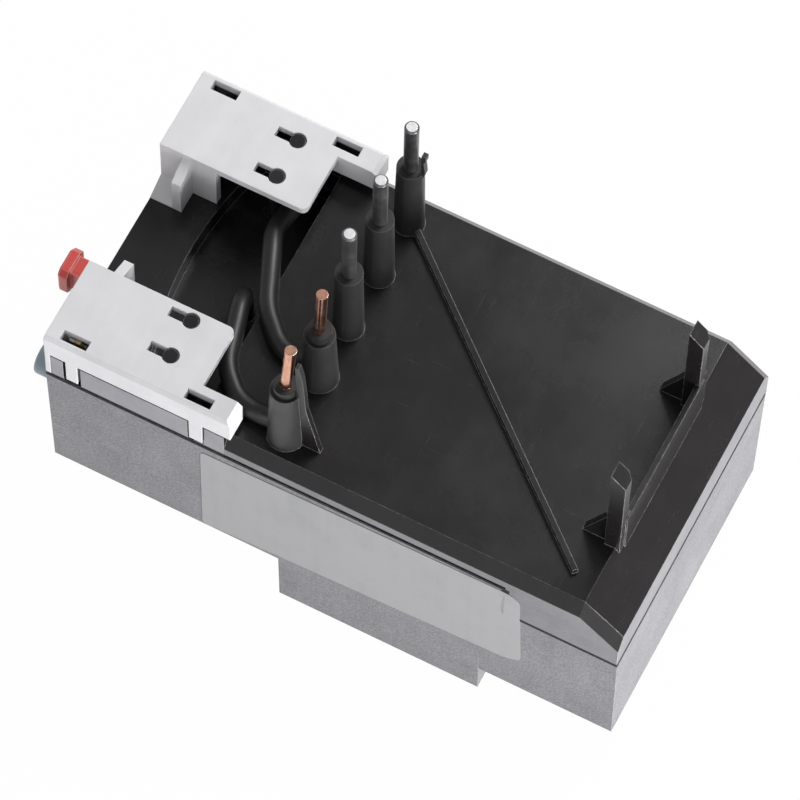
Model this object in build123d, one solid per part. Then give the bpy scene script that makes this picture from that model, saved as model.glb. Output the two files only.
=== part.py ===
from build123d import *
import math
import os

# Thermal overload relay that plugs into the bottom of a small contactor.
# Millimetres. +Z is up, towards the contactor that the pins plug into. -Y is the operator's front.
# The origin is on the resting plane, under the middle of the bounding box.

# Overall body
body_width = 45.0
body_depth = 84.5
deck_height = 42.0
wall = 1.6
side_draft = 0.65          # how much narrower each side is at the bottom
front_lift = 11.7          # underside of the front part, above the resting plane
rear_lift = 6.7            # underside of the rear part
block_setback = 34.2       # front of the load terminal block, behind the front face
block_length = 30.3
joint_drop = 4.5           # side joint line between housing and cover, below the deck
joint_gap = 0.3            # open seam between housing and cover
rear_skirt_length = 16.5   # stretch where the cover's skirt hangs lower
rear_skirt_drop = 12.2
fit = 0.15                 # side clearance of a plugged-in piece
seat = 0.1                 # clearance of a piece above what carries it

# Cover deck
deck_thickness = 1.8
lip_gap = 0.5              # shadow gap under the cover's long lips
edge_width = 1.45          # long bevels of the deck
edge_drop = 2.2
slope_length = 5.8         # slanted rear edge of the deck
slope_drop = 5.2
plateau_setback = 22.1     # front edge of the raised deck, behind the front face
apron_drop = 4.0           # front apron, below the deck
well_drop = 7.2            # floor of the wire well, below the deck
well_front = 8.5           # crown of the well's curved step, behind the front face
well_radius = 52.0
well_centre_x = -2.5
tab_height = 1.2           # side tabs above the deck level
tab_spans = [(0.9, 2.7), (5.3, 21.2), (23.7, 26.6)]

# Line pins and their sleeves
pin_row = 33.3             # row of pins, behind the front face
pin_inset = 5.0            # axis of the first pin, in from the side face
pin_radius = 1.0
pin_shank_radius = 0.7     # inside the sleeve
pin_height = 26.8          # above the deck
pin_depth = 5.4            # below the deck
sleeve_radius = 1.9
sleeve_flare = 0.25        # extra radius of a sleeve at its foot
sleeve_height = 15.7
foot_thickness = 1.0
foot_width = 2.4

# Control wires
wire_shift = [-0.55, 0.2]  # off the even pitch of the row
wire_tip_lean = [(-0.75, -0.05), (-1.3, 0.1)]
wire_tip_height = 22.6
wire_core_radius = 0.8
wire_radius = 1.35
wire_fit = 0.1
wire_sleeve_radius = 2.1
wire_sleeve_flare = 0.5
wire_sleeve_heights = [12.4, 13.6]
wire_ring_height = [14.2, 15.0]
wire_ring_radius = 1.65
wire_mouth_height = 7.3
wire_mouth_lead = 0.4      # extra width on the side the wires bend to
wire_rest = 0.15           # jacket above the deck
elbow_radius = 4.0

# Ribs and hook posts
rib_width = 0.8
rib_height = 1.0
rib_start = (-17.3, 34.1)
rib_end = (18.0, 75.7)
blade_width = 0.8
blade_profile = [(5.2, -0.3), (5.2, 0.0), (3.1, 10.7), (2.9, 15.0), (2.6, 19.2), (2.1, 22.0), (1.6, 22.0)]
hook_profile = [(1.9, -1.5), (2.3, 0.5), (2.2, 2.0), (2.05, 3.2), (2.35, 4.0), (2.35, 5.0),
                (1.7, 5.0), (1.65, 3.2), (1.65, -1.5)]
post_inset = 11.2          # axes, in from the side faces
post_width = 2.4
post_depth = 2.2
post_front = 77.2          # behind the front face
post_height = 20.6
post_slant = 2.2
post_corner = 0.7
post_sink = 2.6
ridge_width = 0.75
ridge_step = 0.25          # ridge proud of the posts
ridge_height = 7.6
gusset_width = 1.2
gusset_height = 7.8
gusset_reach = 3.5

# Terminal covers
cover_height = 6.0         # above the deck
cover_width = 12.7
cover_length = 21.8
cover_plate = 1.2
cover_wall = 1.2
cover_front_wall = 0.8
cover_skirt = 4.5
cover_inner_length = 8.4
arm_width = 3.5
arm_length = 27.6
leg_drop = 3.5
leg_spans = [(0.0, 0.7), (3.1, 4.8), (21.4, 23.4)]
slot_size = (1.5, 3.9)
slot_inset = 1.55
slot_starts = [2.0, 20.3]
key_x = {1: [5.4, 11.1], -1: [3.8, 9.8]}  # keyholes, in from the side face, right and left
key_width = 1.5
key_length = 3.2
key_hole_radius = 1.2
peg_radius = 1.05
peg_row = 16.0             # behind the front face
peg_below_top = 0.2
toe_reach = 3.3
toe_height = 1.4
web_width = 1.4
web_row = 3.4
web_drop = 0.9

# Control terminals under the covers
control_inset = [8.8, 3.9]  # axes, in from the side faces
control_screw_radius = 1.25
control_head_radius = 2.0
control_head_length = 1.8
control_screw_length = 6.6
control_screw_z = 2.7      # above the deck
control_setback = 1.0
control_plate = 4.2
control_strip = 0.8
control_strip_width = 3.0
control_strip_row = 5.6
driver_hole_radius = 2.1
wire_funnel = (3.6, 2.6)
wire_funnel_z = -2.0
tail_drop = 6.8            # outer strips, below the deck
contact_drop = 27.0
contact_height = 4.0
contact_x = 6.5
contact_button_radius = 1.2
contact_button_height = 0.6

# Poles
pole_margin = 3.0          # side faces to the outer poles' bays
partition = 1.2
partition_start = 42.0
bimetal_row = 51.5
bimetal_width = 6.0
bimetal_thickness = 1.0
bimetal_top = 3.4          # below the deck
heater_radius = 0.45
heater_turns = 5
heater_clear = 0.35
heater_height = 12.0
heater_start = 7.5         # above the floor
bar_width = 6.0
bar_thickness = 1.2

# Load terminals
cage_width = 8.6
cage_depth = 9.2
cage_height = 9.4
cage_wall = 1.3
cage_setback = 4.0         # front of the cages, behind the front of the block
cage_bottom = 1.8
load_screw_radius = 2.0
load_head_radius = 3.1
load_head_length = 2.4
load_screw_z = 6.4
load_screw_length = 5.6
entry_size = (5.4, 5.0)
screw_reach = 0.4          # screw tip inside the cage
driver_slot = (0.8, 0.9)   # width and depth of the screw slots

# Trip slides
slide_thickness = 1.0
slide_clear = 4.5          # how much shorter the slides are than the inside of the housing
slide_depth = 10.0
slide_window = 3.2
slide_travel = 1.6         # towards -X when the relay trips
slide_layer_gap = 0.1
slide_arm = 1.8
slide_arm_end = 24.3       # behind the front face
finger_drop = 9.5
finger_gap = 0.1

# Trip lever
lever_inset = 6.25         # axle, in from the inside of the side wall
lever_setback = 17.0
axle_radius = 1.2
lever_hub_radius = 2.6
lever_bottom = 27.1        # below the deck
lever_top = 11.0
lever_arm = 1.0
lever_tip_radius = 0.9
lever_arm_height = 2.0
lever_fit = 0.05
lever_input_end = 25.2     # behind the front face
lever_output_x = 5.0
strip_thickness = 0.6
strip_drop = 21.0

# Contact carrier
carrier_width = 6.4
carrier_depth = 3.8
carrier_height = 4.4
carrier_row = 8.4
carrier_drop = 25.0        # middle of the contacts, below the deck
carrier_travel = 1.9
fork_wall = 1.3
blade_thickness = 0.4
blade_row = 8.8
blade_height = 1.5
blade_half_length = 7.8

# Front controls
front_wall = 1.8
dial_x = -8.0
dial_z = 23.5
dial_radius = 5.9
dial_fit = 0.08
dial_depth = 2.6
dial_shaft_radius = 2.0
dial_shaft_length = 10.0
dial_boss = 1.6
dial_slot = (1.2, 1.2)
cam_radius = 3.4
cam_offset = 0.8
cam_width = 1.4
test_x = 5.8
test_size = (4.8, 5.5)     # head, width and height
test_head = 1.5            # length of the head
test_neck = (2.9, 4.5)     # behind the head, width and height
test_top = 6.05            # below the deck
test_reach = 6.3
reset_inset = 3.9          # axis, in from the side face
reset_radius = 2.4
reset_drop = 9.4           # axis below the deck
reset_reach = 3.1
button_travel = 2.5
button_fit = 0.1
button_stem_end = 3.0      # stem end, behind the front face
collar = 0.8
spring_wire = 0.2
spring_radius = 1.5
spring_turns = 2.5
spring_end = 6.7           # rear seat of the button springs, behind the front face
test_spring_drop = 1.2     # spring below the middle of the test button

# Reference planes
half_width = body_width / 2
front = test_reach - (body_depth + test_reach) / 2
back = front + body_depth
deck = deck_height
joint = deck - joint_drop
rear_joint = deck - rear_skirt_drop
block_front = front + block_setback
block_back = block_front + block_length
plateau = front + plateau_setback
pins_y = front + pin_row
floor_z = front_lift + wall
inner_half = half_width - side_draft - wall
apron = deck - apron_drop
well = deck - well_drop
cover_top = deck + cover_height
slide_z = deck - 5.7
post_x = half_width - post_inset
control_x = [half_width - inset for inset in control_inset]
reset_x = half_width - reset_inset
pole_pitch = (body_width - 2 * pole_margin) / 3
pole_x = [-pole_pitch, 0.0, pole_pitch]
pin_pitch = (body_width - 2 * pin_inset) / 4
pin_x = [-2 * pin_pitch, -pin_pitch, 0.0]
wire_x = [pin_pitch + wire_shift[0], 2 * pin_pitch + wire_shift[1]]
cage_row = block_setback + cage_setback
slide_length = 2 * inner_half - slide_clear
lever_axle = (inner_half - lever_inset, lever_setback)


def block(x, y, z):
    """Box from its limits along the three axes."""
    return Pos((x[0] + x[1]) / 2, (y[0] + y[1]) / 2, (z[0] + z[1]) / 2) * Box(
        abs(x[1] - x[0]), abs(y[1] - y[0]), abs(z[1] - z[0])
    )


def side_prism(points, x0, x1):
    """Prism along X from an outline of (y, z) points."""
    outline = make_face(Polyline([(x0, y, z) for y, z in points], close=True))
    return extrude(outline, amount=x1 - x0, dir=(1, 0, 0))


def front_prism(points, y0, y1):
    """Prism along Y from an outline of (x, z) points."""
    outline = make_face(Polyline([(x, y0, z) for x, z in points], close=True))
    return extrude(outline, amount=y1 - y0, dir=(0, 1, 0))


def plan_prism(points, z0, z1):
    """Prism along Z from an outline of (x, y) points."""
    outline = make_face(Polyline([(x, y, z0) for x, y in points], close=True))
    return extrude(outline, amount=z1 - z0, dir=(0, 0, 1))


def rod_z(x, y, z0, z1, radius):
    return Pos(x, y, (z0 + z1) / 2) * Cylinder(radius, z1 - z0)


def rod_y(x, z, y0, y1, radius):
    return Pos(x, (y0 + y1) / 2, z) * Rot(90, 0, 0) * Cylinder(radius, y1 - y0)


def span(centre, size):
    return (centre - size / 2, centre + size / 2)


def from_front(distances):
    return tuple(front + distance for distance in distances)


def group(solids):
    """Separate solids kept in one node."""
    return Compound(children=[piece.solid() for piece in solids])


# Housing

def drafted(body):
    """Trims a body to the side faces, which lean in towards the bottom."""
    slope = side_draft / (joint - rear_lift)
    foot = half_width - slope * joint
    return body & front_prism([(-foot, 0), (foot, 0), (half_width, joint), (-half_width, joint)], front, back)


def housing_outer():
    rear_top = back - rear_skirt_length
    outline = [
        (front, front_lift), (front, joint), (rear_top, joint), (rear_top, rear_joint),
        (back, rear_joint), (back, rear_lift), (block_back, rear_lift), (block_back, front_lift),
    ]
    return drafted(side_prism(outline, -half_width, half_width))


def housing_cavity():
    rear_floor = rear_lift + wall
    front_bay = block((-inner_half, inner_half), (front + front_wall, back - wall), (floor_z, deck))
    rear_bay = block((-inner_half, inner_half), (block_back + wall, back - wall), (rear_floor, deck))
    return front_bay + rear_bay


def pole_partitions():
    y_range = (front + partition_start, back - wall)
    top = slide_z - seat
    walls = [block(span(x, partition), y_range, (rear_lift + wall, top))
             for x in (-pole_pitch / 2, pole_pitch / 2)]
    bulkhead_y = span(plateau + wall + 2.6, partition)
    bulkhead = block((-inner_half, inner_half), bulkhead_y, (floor_z, slide_z - seat))
    bulkhead -= block((slide_arm_x() - slide_travel - 0.4, inner_half), bulkhead_y, (slide_z - 1, deck))
    return walls + [bulkhead]


def slide_arm_x():
    return slide_length / 2 + slide_travel / 2 - slide_arm + 0.6


def load_bay(x):
    """Pocket for one load terminal, its screwdriver hole and its cable entry."""
    cage_y = (front + cage_row - seat, front + cage_row + cage_depth + seat)
    pocket = block(span(x, cage_width + 2 * seat), cage_y, (cage_bottom, floor_z + seat))
    screw_hole = rod_y(x, load_screw_z, block_front - 1, front + cage_row + 1, load_head_radius + fit)
    entry_y = front + cage_row + cage_wall + screw_reach
    entry = block(span(x, entry_size[0]), (entry_y, entry_y + entry_size[1]), (-1, cage_bottom + 1))
    return pocket + screw_hole + entry


def load_terminal_block():
    """Block under the housing with the bays of the three load terminals."""
    body = drafted(block((-half_width, half_width), (block_front, block_back), (0, front_lift)))
    for x in pole_x:
        body -= load_bay(x)
    return body


def spring_bridge():
    """Rib from the side wall that the two button springs push against."""
    z_range = (deck - reset_drop - 1.5 * spring_radius, well - deck_thickness + 0.4 - seat)
    return block((test_x - spring_radius, inner_half + 0.2), (front + spring_end, front + spring_end + partition),
                 z_range)


def test_axis_z():
    return deck - test_top - test_size[1] / 2


def test_spring_z():
    return test_axis_z() - test_spring_drop


def base_housing():
    body = housing_outer() - housing_cavity()
    for piece in pole_partitions() + [spring_bridge()]:
        body += piece & housing_outer()
    boss_y = (front, front + dial_depth + dial_boss)
    body += rod_y(dial_x, dial_z, *boss_y, dial_radius + 1.6)
    body += lever_pin()
    for x in pole_x:
        body -= load_bay(x)
    body -= rod_y(dial_x, dial_z, front - 1, front + dial_depth, dial_radius + dial_fit)
    body -= rod_y(dial_x, dial_z, front, front + 8, dial_shaft_radius + dial_fit)
    body -= block(
        span(test_x, test_neck[0] + 2 * button_fit), (front - 1, front + front_wall + 0.1),
        span(test_axis_z(), test_neck[1] + 2 * button_fit),
    )
    body -= rod_y(reset_x, deck - reset_drop, front - 1, front + spring_end - 0.2,
                  reset_radius + button_fit)
    return body


def lever_pin():
    """Axle of the trip lever, with the shoulder that the hub rides on."""
    x, setback = lever_axle
    pin = rod_z(x, front + setback, floor_z - 0.2, deck - lever_top + 0.6, axle_radius)
    shoulder = rod_z(x, front + setback, floor_z - 0.2, deck - lever_bottom - lever_fit, lever_hub_radius - 0.4)
    return pin + shoulder


# Cover

def cover_shell():
    rear_top = back - rear_skirt_length
    lip = joint + lip_gap
    skirt = rear_joint + joint_gap
    outline = [
        (plateau, lip), (plateau, deck), (back - slope_length, deck), (back, deck - slope_drop),
        (back, skirt), (rear_top, skirt), (rear_top, lip),
    ]
    shell = side_prism(outline, -half_width, half_width)
    bevel = [
        (half_width - edge_width, deck), (half_width, deck - edge_drop),
        (half_width + 1, deck - edge_drop), (half_width + 1, deck + 1), (half_width - edge_width, deck + 1),
    ]
    crease = back - slope_length
    for side in (-1, 1):
        corner = [(side * x, z) for x, z in bevel]
        shell -= front_prism(corner, front, crease)
        face = make_face(Polyline([(x, crease, z) for x, z in corner], close=True))
        shell -= extrude(face, amount=2 * slope_length, dir=(0, slope_length, -slope_drop))
    under = deck - deck_thickness
    inner = half_width - wall
    hollow = [
        (plateau + wall, lip - 20), (plateau + wall, under), (back - slope_length - 0.6, under),
        (back - wall, under - slope_drop + 0.6), (back - wall, lip - 20),
    ]
    return shell - side_prism(hollow, -inner, inner)


def cover_front():
    """Apron and sunken wire well in front of the raised deck."""
    plug_x = inner_half - fit
    apron_skin = block((-half_width, half_width), (front, plateau + wall), (joint + joint_gap, apron))
    plug = block((-plug_x, plug_x), (front + front_wall + fit, plateau + wall),
                 (joint - 1.3, joint + joint_gap))
    well_walls = block((-plug_x, plug_x), (front + well_front - wall, plateau + wall),
                       (well - deck_thickness + 0.4, joint + joint_gap))
    riser_x = half_width - cover_wall - fit
    riser = block((-riser_x, riser_x), (plateau, plateau + wall), (joint + lip_gap, deck - 0.5))
    lower_riser = block((-plug_x, plug_x), (plateau, plateau + wall), (well, joint + lip_gap))
    solid = apron_skin + plug + well_walls + riser + lower_riser
    hollow_x = plug_x - 1.4
    curved = rod_z(well_centre_x, front + well_front + well_radius, well, deck + 1, well_radius)
    hollow = block((-hollow_x, hollow_x), (front, plateau), (well, deck + 1)) & curved
    under_step = block((-half_width, half_width), (front, plateau + 9), (0, well - deck_thickness + 0.4))
    return solid - hollow - under_step


def side_tabs():
    tabs = []
    for start, end in tab_spans:
        y_range = from_front((start, end))
        for side in (-1, 1):
            x_range = sorted((side * half_width, side * (half_width - wall + 0.2)))
            tabs.append(block(x_range, y_range, (joint + joint_gap, deck + tab_height)))
    return tabs


def pin_sleeve(x, height, radius, flare):
    """Slightly conical sleeve around a pin or wire."""
    low = deck - 0.5
    return Pos(x, pins_y, (low + deck + height) / 2) * Cone(radius + flare, radius, height + 0.5)


def diagonal_rib():
    start = Vector(rib_start[0], front + rib_start[1])
    end = Vector(rib_end[0], front + rib_end[1])
    middle = (start + end) / 2
    length = (end - start).length
    angle = math.degrees(math.atan2(end.Y - start.Y, end.X - start.X))
    rib = Box(length, rib_width, rib_height + 0.4)
    return Pos(middle.X, middle.Y, deck + rib_height / 2 - 0.2) * Rot(0, 0, angle) * rib


def sleeve_blade():
    """Tall tapering blade behind the last wire sleeve."""
    foot = (wire_sleeve_radius - 0.3, -0.3)
    outline = [foot] + blade_profile + [(1.75, wire_ring_height[1] - 2)]
    x0, x1 = span(wire_x[1], blade_width)
    return side_prism([(pins_y + y, deck + z) for y, z in outline], x0, x1)


def sleeve_hook():
    """Barbed finger on the rim of the first pin's sleeve."""
    x0, x1 = span(pin_x[0], blade_width)
    rim = deck + sleeve_height
    return side_prism([(pins_y + y, rim + z) for y, z in hook_profile], x0, x1)


def hook_post(x):
    start = front + post_front
    end = start + post_depth
    top = deck + post_height
    outline = [(start, deck - 0.6), (end, deck - post_sink), (end, top - post_slant), (start, top)]
    x0, x1 = span(x, post_width)
    post = side_prism(outline, x0, x1)
    cut = [(x0 - 1, end - post_corner - 1), (x0 + post_corner + 1, end + 1), (x0 - 1, end + 1)]
    brace = [(start - gusset_reach, deck - 0.3), (start + 0.2, deck - 0.3),
             (start + 0.2, deck + gusset_height), (start - gusset_reach, deck)]
    g0, g1 = span(x, gusset_width)
    corner = plan_prism(cut, deck + ridge_height + 0.2, top + 1)
    return post - corner + side_prism(brace, g0, g1)


def post_ridge():
    """Wall that joins the two hook posts."""
    y1 = front + post_front + post_depth + ridge_step
    y0 = y1 - ridge_width
    outline = [(y0, deck - post_sink), (y1, deck - post_sink), (y1, deck + ridge_height), (y0, deck + ridge_height)]
    return side_prism(outline, -post_x, post_x)


def cover_pegs():
    pegs = []
    for side in (-1, 1):
        for inset in key_x[side]:
            x = side * (half_width - inset)
            pegs.append(rod_z(x, front + peg_row, well - 0.3, cover_top - peg_below_top, peg_radius))
    return pegs


def wire_notch(x):
    """Mouth at the foot of a wire's sleeve, where the wire bends out towards the front."""
    width = wire_radius + wire_fit
    return block((x - width - wire_mouth_lead, x + width), (pins_y - wire_sleeve_radius - 1, pins_y),
                 (deck, deck + wire_mouth_height))


def leg_notch(start, end):
    """Recess in the cover's side edge for a terminal cover's leg."""
    y_range = from_front((start - fit, end + fit))
    z_range = (deck - leg_drop - fit, deck + 1)
    inner = half_width - cover_wall - fit
    return block((inner, half_width + 1), y_range, z_range) + block((-half_width - 1, -inner), y_range, z_range)


def strip_slot(x):
    y = front + control_strip_row
    return block(span(x, control_strip_width + 2 * fit), span(y, control_strip + 2 * fit),
                 (joint - 3, apron + 1))


def top_cover():
    shell = cover_shell() + cover_front()
    for piece in side_tabs() + cover_pegs():
        shell += piece
    for x in pin_x:
        shell += pin_sleeve(x, sleeve_height, sleeve_radius, sleeve_flare)
    for x, height in zip(wire_x, wire_sleeve_heights):
        shell += pin_sleeve(x, height, wire_sleeve_radius, wire_sleeve_flare)
    shell += sleeve_blade()
    shell += sleeve_hook()
    shell += diagonal_rib()
    for x in (-post_x, post_x):
        shell += hook_post(x)
    shell += post_ridge()
    for x in pin_x:
        shell -= rod_z(x, pins_y, deck - 5, deck + pin_height, pin_shank_radius)
    for x in wire_x:
        shell -= rod_z(x, pins_y, deck, deck + pin_height, wire_radius + wire_fit)
        shell -= wire_notch(x)
    shell -= leg_notch(*leg_spans[-1])
    for side in (-1, 1):
        for x in control_x:
            shell -= strip_slot(side * x)
    for path in (coil_route(), contact_route()):
        end = path[-1]
        shell -= rod_z(end[0], end[1], well - 3, well + 1, wire_radius + wire_fit)
    return shell


# Terminal covers

def cover_box():
    """Right-hand cover, without its cut-outs."""
    inner = half_width - cover_width
    top = cover_top
    plate_end = front + cover_length
    arm_end = front + arm_length
    skirt = top - cover_skirt
    outline = plan_prism([
        (inner, front), (half_width, front), (half_width, arm_end),
        (half_width - arm_width, arm_end), (half_width - arm_width, plate_end), (inner, plate_end),
    ], skirt, top)
    under = (skirt - 1, top - cover_plate)
    arm_start = plate_end - 2
    hollow = block((inner - 1, half_width - cover_wall), (front + cover_front_wall, arm_start), under)
    rear = block((inner - 1, half_width - arm_width), (arm_start, plate_end + 1), under)
    arm_core = block((half_width - arm_width + cover_wall, half_width - cover_wall),
                     (arm_start, arm_end - cover_wall), under)
    shell = outline - hollow - rear - arm_core
    front_face = block((inner, half_width), (front, front + cover_front_wall), (apron + seat, top))
    inner_face = block((inner, inner + cover_wall), (front, front + cover_inner_length),
                       (apron + seat, top))
    return shell + front_face + inner_face


def cover_legs():
    """Outer legs that drop between the side tabs."""
    legs = []
    outer = (half_width - cover_wall, half_width)
    for start, end in leg_spans:
        y_range = from_front((start, end))
        legs.append(block(outer, y_range, (deck - leg_drop, cover_top - cover_skirt + 0.5)))
    return legs


def cover_toe():
    """Splayed foot and upright web on the inner wall."""
    inner = half_width - cover_width
    base = apron + seat
    wedge = front_prism([(inner + 0.5, base), (inner - toe_reach, base), (inner, base + toe_height),
                         (inner + 0.5, base + toe_height)], front, front + web_row)
    web_top = cover_top - web_drop
    web = front_prism([(inner + 0.5, base), (inner - toe_reach, base), (inner - toe_reach, web_top - 1.6),
                       (inner, web_top), (inner + 0.5, web_top)], front + web_row, front + web_row + web_width)
    return wedge + web


def key_hole(x):
    y = front + peg_row
    slot = block(span(x, key_width), (y - key_length, y), (deck, cover_top + 1))
    return slot + rod_z(x, y, deck, cover_top + 1, key_hole_radius)


def terminal_cover(side):
    """One of the two covers, modelled on the right and mirrored for the left (side -1)."""
    shell = cover_box() + cover_toe()
    for leg in cover_legs():
        shell += leg
    inner = half_width - cover_width
    corner = shell.edges().filter_by(Axis.Z).filter_by(
        lambda e: abs(e.center().X - inner) < 0.05 and abs(e.center().Y - front - cover_length) < 0.05)
    shell = fillet(corner, 0.9)
    rim = shell.edges().filter_by(Axis.Y).filter_by(
        lambda e: abs(e.center().X - half_width) < 0.05 and abs(e.center().Z - cover_top) < 0.05)
    shell = chamfer(rim, 0.5)
    end = shell.edges().filter_by(Axis.X).filter_by(
        lambda e: abs(e.center().Y - front - arm_length) < 0.6 and abs(e.center().Z - cover_top) < 0.05)
    shell = chamfer(end, 0.7)
    x_slot = half_width - slot_inset
    for start in slot_starts:
        y_range = from_front((start, start + slot_size[1]))
        shell -= block(span(x_slot, slot_size[0]), y_range, (deck, cover_top + 1))
    for inset in key_x[side]:
        shell -= key_hole(half_width - inset)
    for x in control_x:
        shell -= rod_y(x, deck + control_screw_z, front - 1, front + cover_front_wall + 0.5, driver_hole_radius)
        shell -= block(span(x, wire_funnel[0]), (front - 1, front + cover_front_wall + 0.5),
                       span(deck + wire_funnel_z, wire_funnel[1]))
    return shell if side > 0 else mirror(shell, about=Plane.YZ)


# Control terminals

def screw_along_y(x, z, head_start, head_length, head_radius, length, radius, slot):
    """Slotted screw whose head faces the operator."""
    head = rod_y(x, z, head_start, head_start + head_length, head_radius)
    shank = rod_y(x, z, head_start + head_length, head_start + head_length + length, radius)
    cut = block(span(x, 2 * head_radius + 1), (head_start - 1, head_start + slot[1]), span(z, slot[0]))
    return head + shank - cut


def control_places():
    return [side * x for side in (-1, 1) for x in control_x]


def control_screw(x):
    return screw_along_y(x, deck + control_screw_z, front + control_setback, control_head_length,
                         control_head_radius, control_screw_length, control_screw_radius, driver_slot)


def control_washer(x):
    start = front + control_setback + control_head_length
    plate = block(span(x, control_plate), (start, start + control_strip),
                  span(deck + control_screw_z - 0.6, control_plate + 0.8))
    return plate - rod_y(x, deck + control_screw_z, start - 1, start + 2, control_screw_radius)


def control_strip_piece(x):
    """Terminal plate, bent back and down to its contact in the housing."""
    plate_start = front + control_setback + control_head_length + control_strip + 0.05
    drop_y = front + control_strip_row
    foot = apron + seat
    upright = block(span(x, control_plate), (plate_start, plate_start + control_strip),
                    (foot, deck + control_screw_z + 2))
    run = block(span(x, control_strip_width), (plate_start, drop_y + control_strip / 2),
                (foot, foot + control_strip))
    drop = block(span(x, control_strip_width), span(drop_y, control_strip),
                 (deck - contact_end(x), foot + control_strip))
    strip = upright + run + drop
    if abs(x) == control_x[0]:
        strip += contact_foot(x)
    return strip - rod_y(x, deck + control_screw_z, front, plate_start + 2, control_screw_radius)


def contact_end(x):
    return contact_drop if abs(x) == control_x[0] else tail_drop


def contact_foot(x):
    """Arm that carries the fixed contact, facing the moving blade behind it."""
    side = 1 if x > 0 else -1
    low = deck - contact_drop
    y = front + control_strip_row
    reach = sorted((side * (contact_x - 1.5), x))
    arm = block(reach, span(y, control_strip), (low, low + contact_height))
    face = y + control_strip / 2
    return arm + rod_y(side * contact_x, deck - carrier_drop, face, face + contact_button_height,
                       contact_button_radius)


# Poles

def line_pin(x, pole):
    """Plug-in pin with the foot that leads to its heater."""
    pin = rod_z(x, pins_y, deck + sleeve_height, deck + pin_height, pin_radius)
    pin = chamfer(pin.edges().sort_by(Axis.Z)[-1], 0.25)
    shank = rod_z(x, pins_y, deck - pin_depth, deck + sleeve_height, pin_shank_radius)
    foot_z = (deck - pin_depth, deck - pin_depth + foot_thickness)
    target_y = front + bimetal_row - bimetal_width / 2 - 2.2
    if x == 0.0:
        run_y = pins_y + 0.6
    else:
        run_y = pins_y + 4.0
    along = span(run_y, foot_width)
    first = block(span(x, foot_width), (pins_y - foot_width / 2, run_y + foot_width / 2), foot_z)
    second = block((min(x, pole) - foot_width / 2, max(x, pole) + foot_width / 2), along, foot_z)
    third = block(span(pole, foot_width), (run_y, target_y), foot_z)
    tail = block(span(pole + 0.6, foot_width), (target_y - foot_thickness, target_y),
                 (floor_z + heater_start + heater_height - 1, foot_z[1]))
    return pin + shank + first + second + third + tail


def load_bar(x):
    """Copper bar from the load clamp up to the foot of the bimetal."""
    bar_y = front + cage_row + cage_depth - cage_wall - bar_thickness
    upright = block(span(x, bar_width - 0.4), (bar_y, bar_y + bar_thickness),
                    (cage_bottom + cage_wall + 0.2, floor_z + bar_thickness))
    foot_y = (bar_y, front + bimetal_row + bimetal_width / 2 + 0.6)
    foot = block(span(x, bar_width - 0.4), foot_y, (floor_z, floor_z + bar_thickness))
    lug_x = (x + bimetal_thickness / 2, x + bimetal_thickness / 2 + bar_thickness)
    lug = block(lug_x, span(front + bimetal_row, bimetal_width + 0.6), (floor_z, floor_z + 5.6))
    return upright + foot + lug


def bimetal(x):
    return block(span(x, bimetal_thickness), span(front + bimetal_row, bimetal_width),
                 (floor_z + bar_thickness, deck - bimetal_top))


def heater(x):
    """Flattened heater coil around one bimetal, from the bar's lug up to the pin's tail."""
    start_z = floor_z + heater_start
    y = front + bimetal_row
    half_x = bimetal_thickness / 2 + heater_clear + heater_radius
    half_y = bimetal_width / 2 + heater_clear + heater_radius
    corners = [(half_x, -half_y), (half_x, half_y), (-half_x, half_y), (-half_x, -half_y)]
    steps = heater_turns * 4
    rise = heater_height / steps
    coil = [(x + corners[i % 4][0], y + corners[i % 4][1], start_z + i * rise) for i in range(steps + 1)]
    below = (coil[0][0], coil[0][1], floor_z + 3)
    above = (coil[-1][0], coil[-1][1], start_z + heater_height + 3)
    path = FilletPolyline(below, *coil, above, radius=0.55)
    section = Plane(origin=path @ 0, z_dir=path % 0) * Circle(heater_radius)
    return sweep(section, path=path)


def load_cage(x):
    """Clamp box that the load cable enters from below."""
    y0 = front + cage_row
    outer = block(span(x, cage_width - 0.4), (y0, y0 + cage_depth), (cage_bottom + 0.1, cage_bottom + cage_height))
    inner = block(span(x, cage_width - 0.4 - 2 * cage_wall), (y0 + cage_wall, y0 + cage_depth - cage_wall),
                  (0, cage_bottom + cage_height + 1))
    return outer - inner - rod_y(x, load_screw_z, y0 - 1, y0 + cage_wall + 1, load_screw_radius)


def load_screw(x):
    start = front + cage_row - load_head_length
    return screw_along_y(x, load_screw_z, start, load_head_length, load_head_radius,
                         cage_wall + screw_reach, load_screw_radius, driver_slot)


# Trip mechanism

def slide_plate(level):
    z = slide_z + level * (slide_thickness + slide_layer_gap)
    y = front + bimetal_row
    middle = slide_travel / 2
    plate = block(span(middle, slide_length), span(y, slide_depth), (z, z + slide_thickness))
    for x in pole_x:
        plate -= block(span(x + middle, slide_window), span(y, bimetal_width + 1.0), (z - 1, z + 2))
    return plate


def trip_slide():
    """Lower slide, with the arm and finger that reach forward to the trip lever."""
    x = slide_arm_x()
    end = front + slide_arm_end
    z_range = (slide_z, slide_z + slide_thickness)
    arm = block((x, x + slide_arm), (end, front + bimetal_row), z_range)
    push_x = lever_axle[0] + strip_thickness / 2 + finger_gap
    cross = block((push_x, x + slide_arm), (end, end + 1.2), z_range)
    finger = block((push_x, push_x + slide_arm), (end, end + 1.2), (slide_z - finger_drop, z_range[1]))
    return slide_plate(0) + arm + cross + finger


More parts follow.
